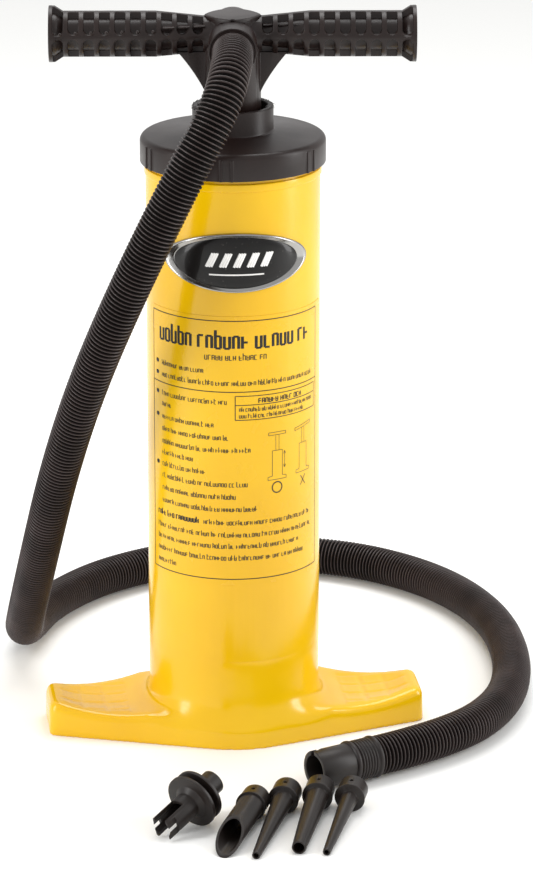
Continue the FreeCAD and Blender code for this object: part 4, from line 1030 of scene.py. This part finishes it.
def ruled(start, end, half_width=0.3):
    """A long line, in short steps so that it bends round the tube."""
    steps = max(1, int(math.dist(start, end) / (3 * MM)))
    points = [
        (start[0] + (end[0] - start[0]) * i / steps, start[1] + (end[1] - start[1]) * i / steps)
        for i in range(steps + 1)
    ]
    return [(points, half_width * MM)]


def frame_of(corners, half_width=0.3):
    strokes = []
    for start, end in zip(corners, corners[1:] + corners[:1]):
        strokes += ruled(start, end, half_width)
    return strokes


def one_mark(x, z, width, height, half_width):
    """A mark in no alphabet."""
    rise = 1.5 if picker.random() < 0.2 else 1.0
    strokes = [([(x, z), (x, z + height * rise)], half_width)]
    if picker.random() < 0.65:
        strokes.append(([(x + width, z), (x + width, z + height)], half_width))
    for level in picker.sample((0, 0.5, 1), picker.choice((1, 1, 2))):
        strokes.append(([(x, z + level * height), (x + width, z + level * height)], 0.8 * half_width))
    return strokes


def marks(start_degrees, end_degrees, level, height, half_width, words=(2, 9), breadth=0.5, pitch=0.82):
    """A line of words of marks between two angles, standing on level. Sizes are in mm."""
    x = math.radians(start_degrees) * FILM_RADIUS
    end = math.radians(end_degrees) * FILM_RADIUS
    width = breadth * height * MM
    pitch *= height * MM
    strokes = []
    while x < end - width:
        for _ in range(picker.randint(*words)):
            if x < end - width:
                strokes += one_mark(x, level * MM, width, height * MM, half_width * MM)
                x += pitch
        x += 0.55 * pitch
    return strokes


def arrow(low, high):
    """An upright line with a small head at each end."""
    strokes = ruled(low, high, 0.18)
    for (x, z), way in ((low, 1), (high, -1)):
        for side in (-0.9, 0.9):
            strokes.append(([(x, z), (x + side * MM, z + way * 2 * MM)], 0.18 * MM))
    return strokes


def pump_drawing(middle, bar_level, half_bar, slant):
    """Outline drawing of a pump: bar, rod, body and foot."""
    left, right = middle - half_bar, middle + half_bar
    strokes = frame_of([
        at(left, bar_level - slant), at(right, bar_level + slant),
        at(right, bar_level + slant + 1.8), at(left, bar_level - slant + 1.8),
    ], 0.2)
    for side in (-1.2, 1.2):
        strokes += ruled(at(middle + side, bar_level), at(middle + side, bar_level - 10.5), 0.18)
    body_top = bar_level - 10.5
    strokes += frame_of([
        at(middle - 3.8, body_top), at(middle + 3.8, body_top), at(middle + 3.8, body_top - 17),
        at(middle + 6.9, body_top - 17.5), at(middle + 6.9, body_top - 19.5),
        at(middle - 6.9, body_top - 19.5), at(middle - 6.9, body_top - 17.5), at(middle - 3.8, body_top - 17),
    ], 0.2)
    return strokes


# angles round the tube in degrees, levels in mm
FRAME_LEFT, FRAME_RIGHT = -71, 63
FRAME_LOW, FRAME_HIGH = 116, 289
DIVIDER = 242
BULLETS = -65.6
TABLE_LEFT, TABLE_RIGHT = -4.9, 60.2
TABLE_LOW, TABLE_DIVIDER, TABLE_HIGH = 223.3, 233.2, 239.2
label_strokes = frame_of([
    at(FRAME_LEFT, FRAME_LOW), at(FRAME_RIGHT, FRAME_LOW),
    at(FRAME_RIGHT, FRAME_HIGH), at(FRAME_LEFT, FRAME_HIGH),
], 0.36)
label_strokes += ruled(at(FRAME_LEFT, DIVIDER), at(FRAME_RIGHT, DIVIDER), 0.34)
label_strokes += marks(-62, 53, 270.9, 8.0, 1.0, (4, 6), 0.42, 0.72)
label_strokes += marks(-25, 17, 263.2, 3.0, 0.34, (3, 6))
for level in (255.8, 248.1, 235.3, 220.0, 187.7):
    label_strokes += disc(*at(BULLETS, level), 1.6 * MM)
TEXT_LINES = [
    # start and end in degrees, height of the line in mm
    (-60.3, -24.0, 254.0), (-60.3, 57.0, 246.3), (-60.3, -9.7, 233.8), (-60.3, -51.0, 226.6),
    (-60.3, -17.8, 218.2), (-60.3, -8.0, 209.9), (-60.3, 5.6, 201.5), (-60.3, -32.7, 194.0),
    (-60.3, -24.7, 186.3), (-60.3, 3.1, 178.5), (-60.3, -4.4, 170.1), (-60.3, 10.6, 161.8),
    (-26.0, 53.7, 152.8), (-65.5, 55.0, 144.5), (-65.5, 43.0, 136.8), (-65.5, 46.5, 128.8),
    (-65.5, -47.0, 120.6),
]
for start, end, level in TEXT_LINES:
    label_strokes += marks(start, end, level, 2.3, 0.3)
label_strokes += marks(-65.5, -28.5, 152.8, 2.7, 0.5)
label_strokes += frame_of([
    at(TABLE_LEFT, TABLE_LOW), at(TABLE_RIGHT, TABLE_LOW),
    at(TABLE_RIGHT, TABLE_HIGH), at(TABLE_LEFT, TABLE_HIGH),
])
label_strokes += ruled(at(TABLE_LEFT, TABLE_DIVIDER), at(TABLE_RIGHT, TABLE_DIVIDER))
label_strokes += marks(10.7, 45.5, 234.3, 2.9, 0.4)
label_strokes += marks(-2.2, 57.0, 229.0, 2.0, 0.27)
label_strokes += marks(-2.2, 46.5, 224.6, 2.0, 0.27)
label_strokes += pump_drawing(24.0, 211.5, 6.5, 0.0)
label_strokes += pump_drawing(46.4, 212.5, 8.0, 1.2)
label_strokes += arrow(at(29.6, 188.8), at(29.6, 200))
RING_RADIUS = 3.6 * MM
RING_STEPS = 28
ring_x, ring_z = at(23.8, 176.2)
ring_points = []
for i in range(RING_STEPS + 1):
    angle = 2 * math.pi * i / RING_STEPS
    ring_points.append((ring_x + RING_RADIUS * math.cos(angle), ring_z + RING_RADIUS * math.sin(angle)))
label_strokes.append((ring_points, 0.45 * MM))
CROSS_HALF_WIDTH = 2.3 * MM
CROSS_HALF_HEIGHT = 3.2 * MM
cross_x, cross_z = at(46.3, 176.9)
for side in (-1, 1):
    low = (cross_x - CROSS_HALF_WIDTH, cross_z - side * CROSS_HALF_HEIGHT)
    high = (cross_x + CROSS_HALF_WIDTH, cross_z + side * CROSS_HALF_HEIGHT)
    label_strokes.append(([low, high], 0.38 * MM))
label_print = printed("label_print", label_strokes)
for vertex in label_print.data.vertices:
    x, y, z = vertex.co
    radius = FILM_RADIUS - y
    vertex.co = (radius * math.sin(x / FILM_RADIUS), -radius * math.cos(x / FILM_RADIUS), z)
dress(label_print, label_ink, "base")
print("label strokes:", len(label_strokes), "triangles:", triangles(label_print))

# %% [markdown]
# ## Floor and light
# The pump stands on a white sweep, as in a catalogue. Two tall soft boxes at the sides draw the bright
# lines down the yellow tube's edges and leave its middle deeper, and one above and behind makes the cap
# and the hub shine.

# %% Floor and light
bpy.ops.object.select_all(action="DESELECT")
bpy.ops.mesh.primitive_plane_add(size=8, location=(0, 0, 0))
floor = bpy.context.object
floor.name = "floor"
floor_material, floor_tree = new_finish("white_sweep")
floor_coords = add_node(floor_tree, "ShaderNodeTexCoord")
floor_noise = add_node(floor_tree, "ShaderNodeTexNoise", {"Vector": (floor_coords, "Object"), "Scale": 4.0})
floor_rough = add_node(floor_tree, "ShaderNodeMapRange", {
    "Value": (floor_noise, "Fac"), "To Min": 0.75, "To Max": 0.9,
})
floor_shader = add_node(floor_tree, "ShaderNodeBsdfPrincipled", {
    "Base Color": linear("#fdfdfb"), "Roughness": (floor_rough, "Result"), "Specular IOR Level": 0.1,
})
finish_with(floor_tree, floor_shader)
floor.data.materials.append(floor_material)

WORLD_STRENGTH = 0.78
world = bpy.data.worlds.new("studio")
bpy.context.scene.world = world
world.use_nodes = True
world.node_tree.nodes["Background"].inputs["Color"].default_value = (1, 1, 1, 1)
world.node_tree.nodes["Background"].inputs["Strength"].default_value = WORLD_STRENGTH


def soft_box(name, place, target, width, height, power):
    """A rectangular area light at place, facing target."""
    light = bpy.data.lights.new(name, "AREA")
    light.shape = "RECTANGLE"
    light.size = width
    light.size_y = height
    light.energy = power
    lamp = bpy.data.objects.new(name, light)
    bpy.context.scene.collection.objects.link(lamp)
    lamp.location = place
    lamp.rotation_euler = (Vector(target) - Vector(place)).to_track_quat("-Z", "Y").to_euler()
    return lamp


soft_box("left_box", (-1.6, -0.6, 0.75), (0, 0, 0.25), 0.45, 1.5, 16)
soft_box("right_box", (1.6, -0.4, 0.75), (0, 0, 0.25), 0.45, 1.5, 16)
soft_box("top_box", (0.1, 0.7, 1.9), (0, 0, 0.3), 1.6, 1.0, 22)
print("lights:", [light.name for light in bpy.data.lights])
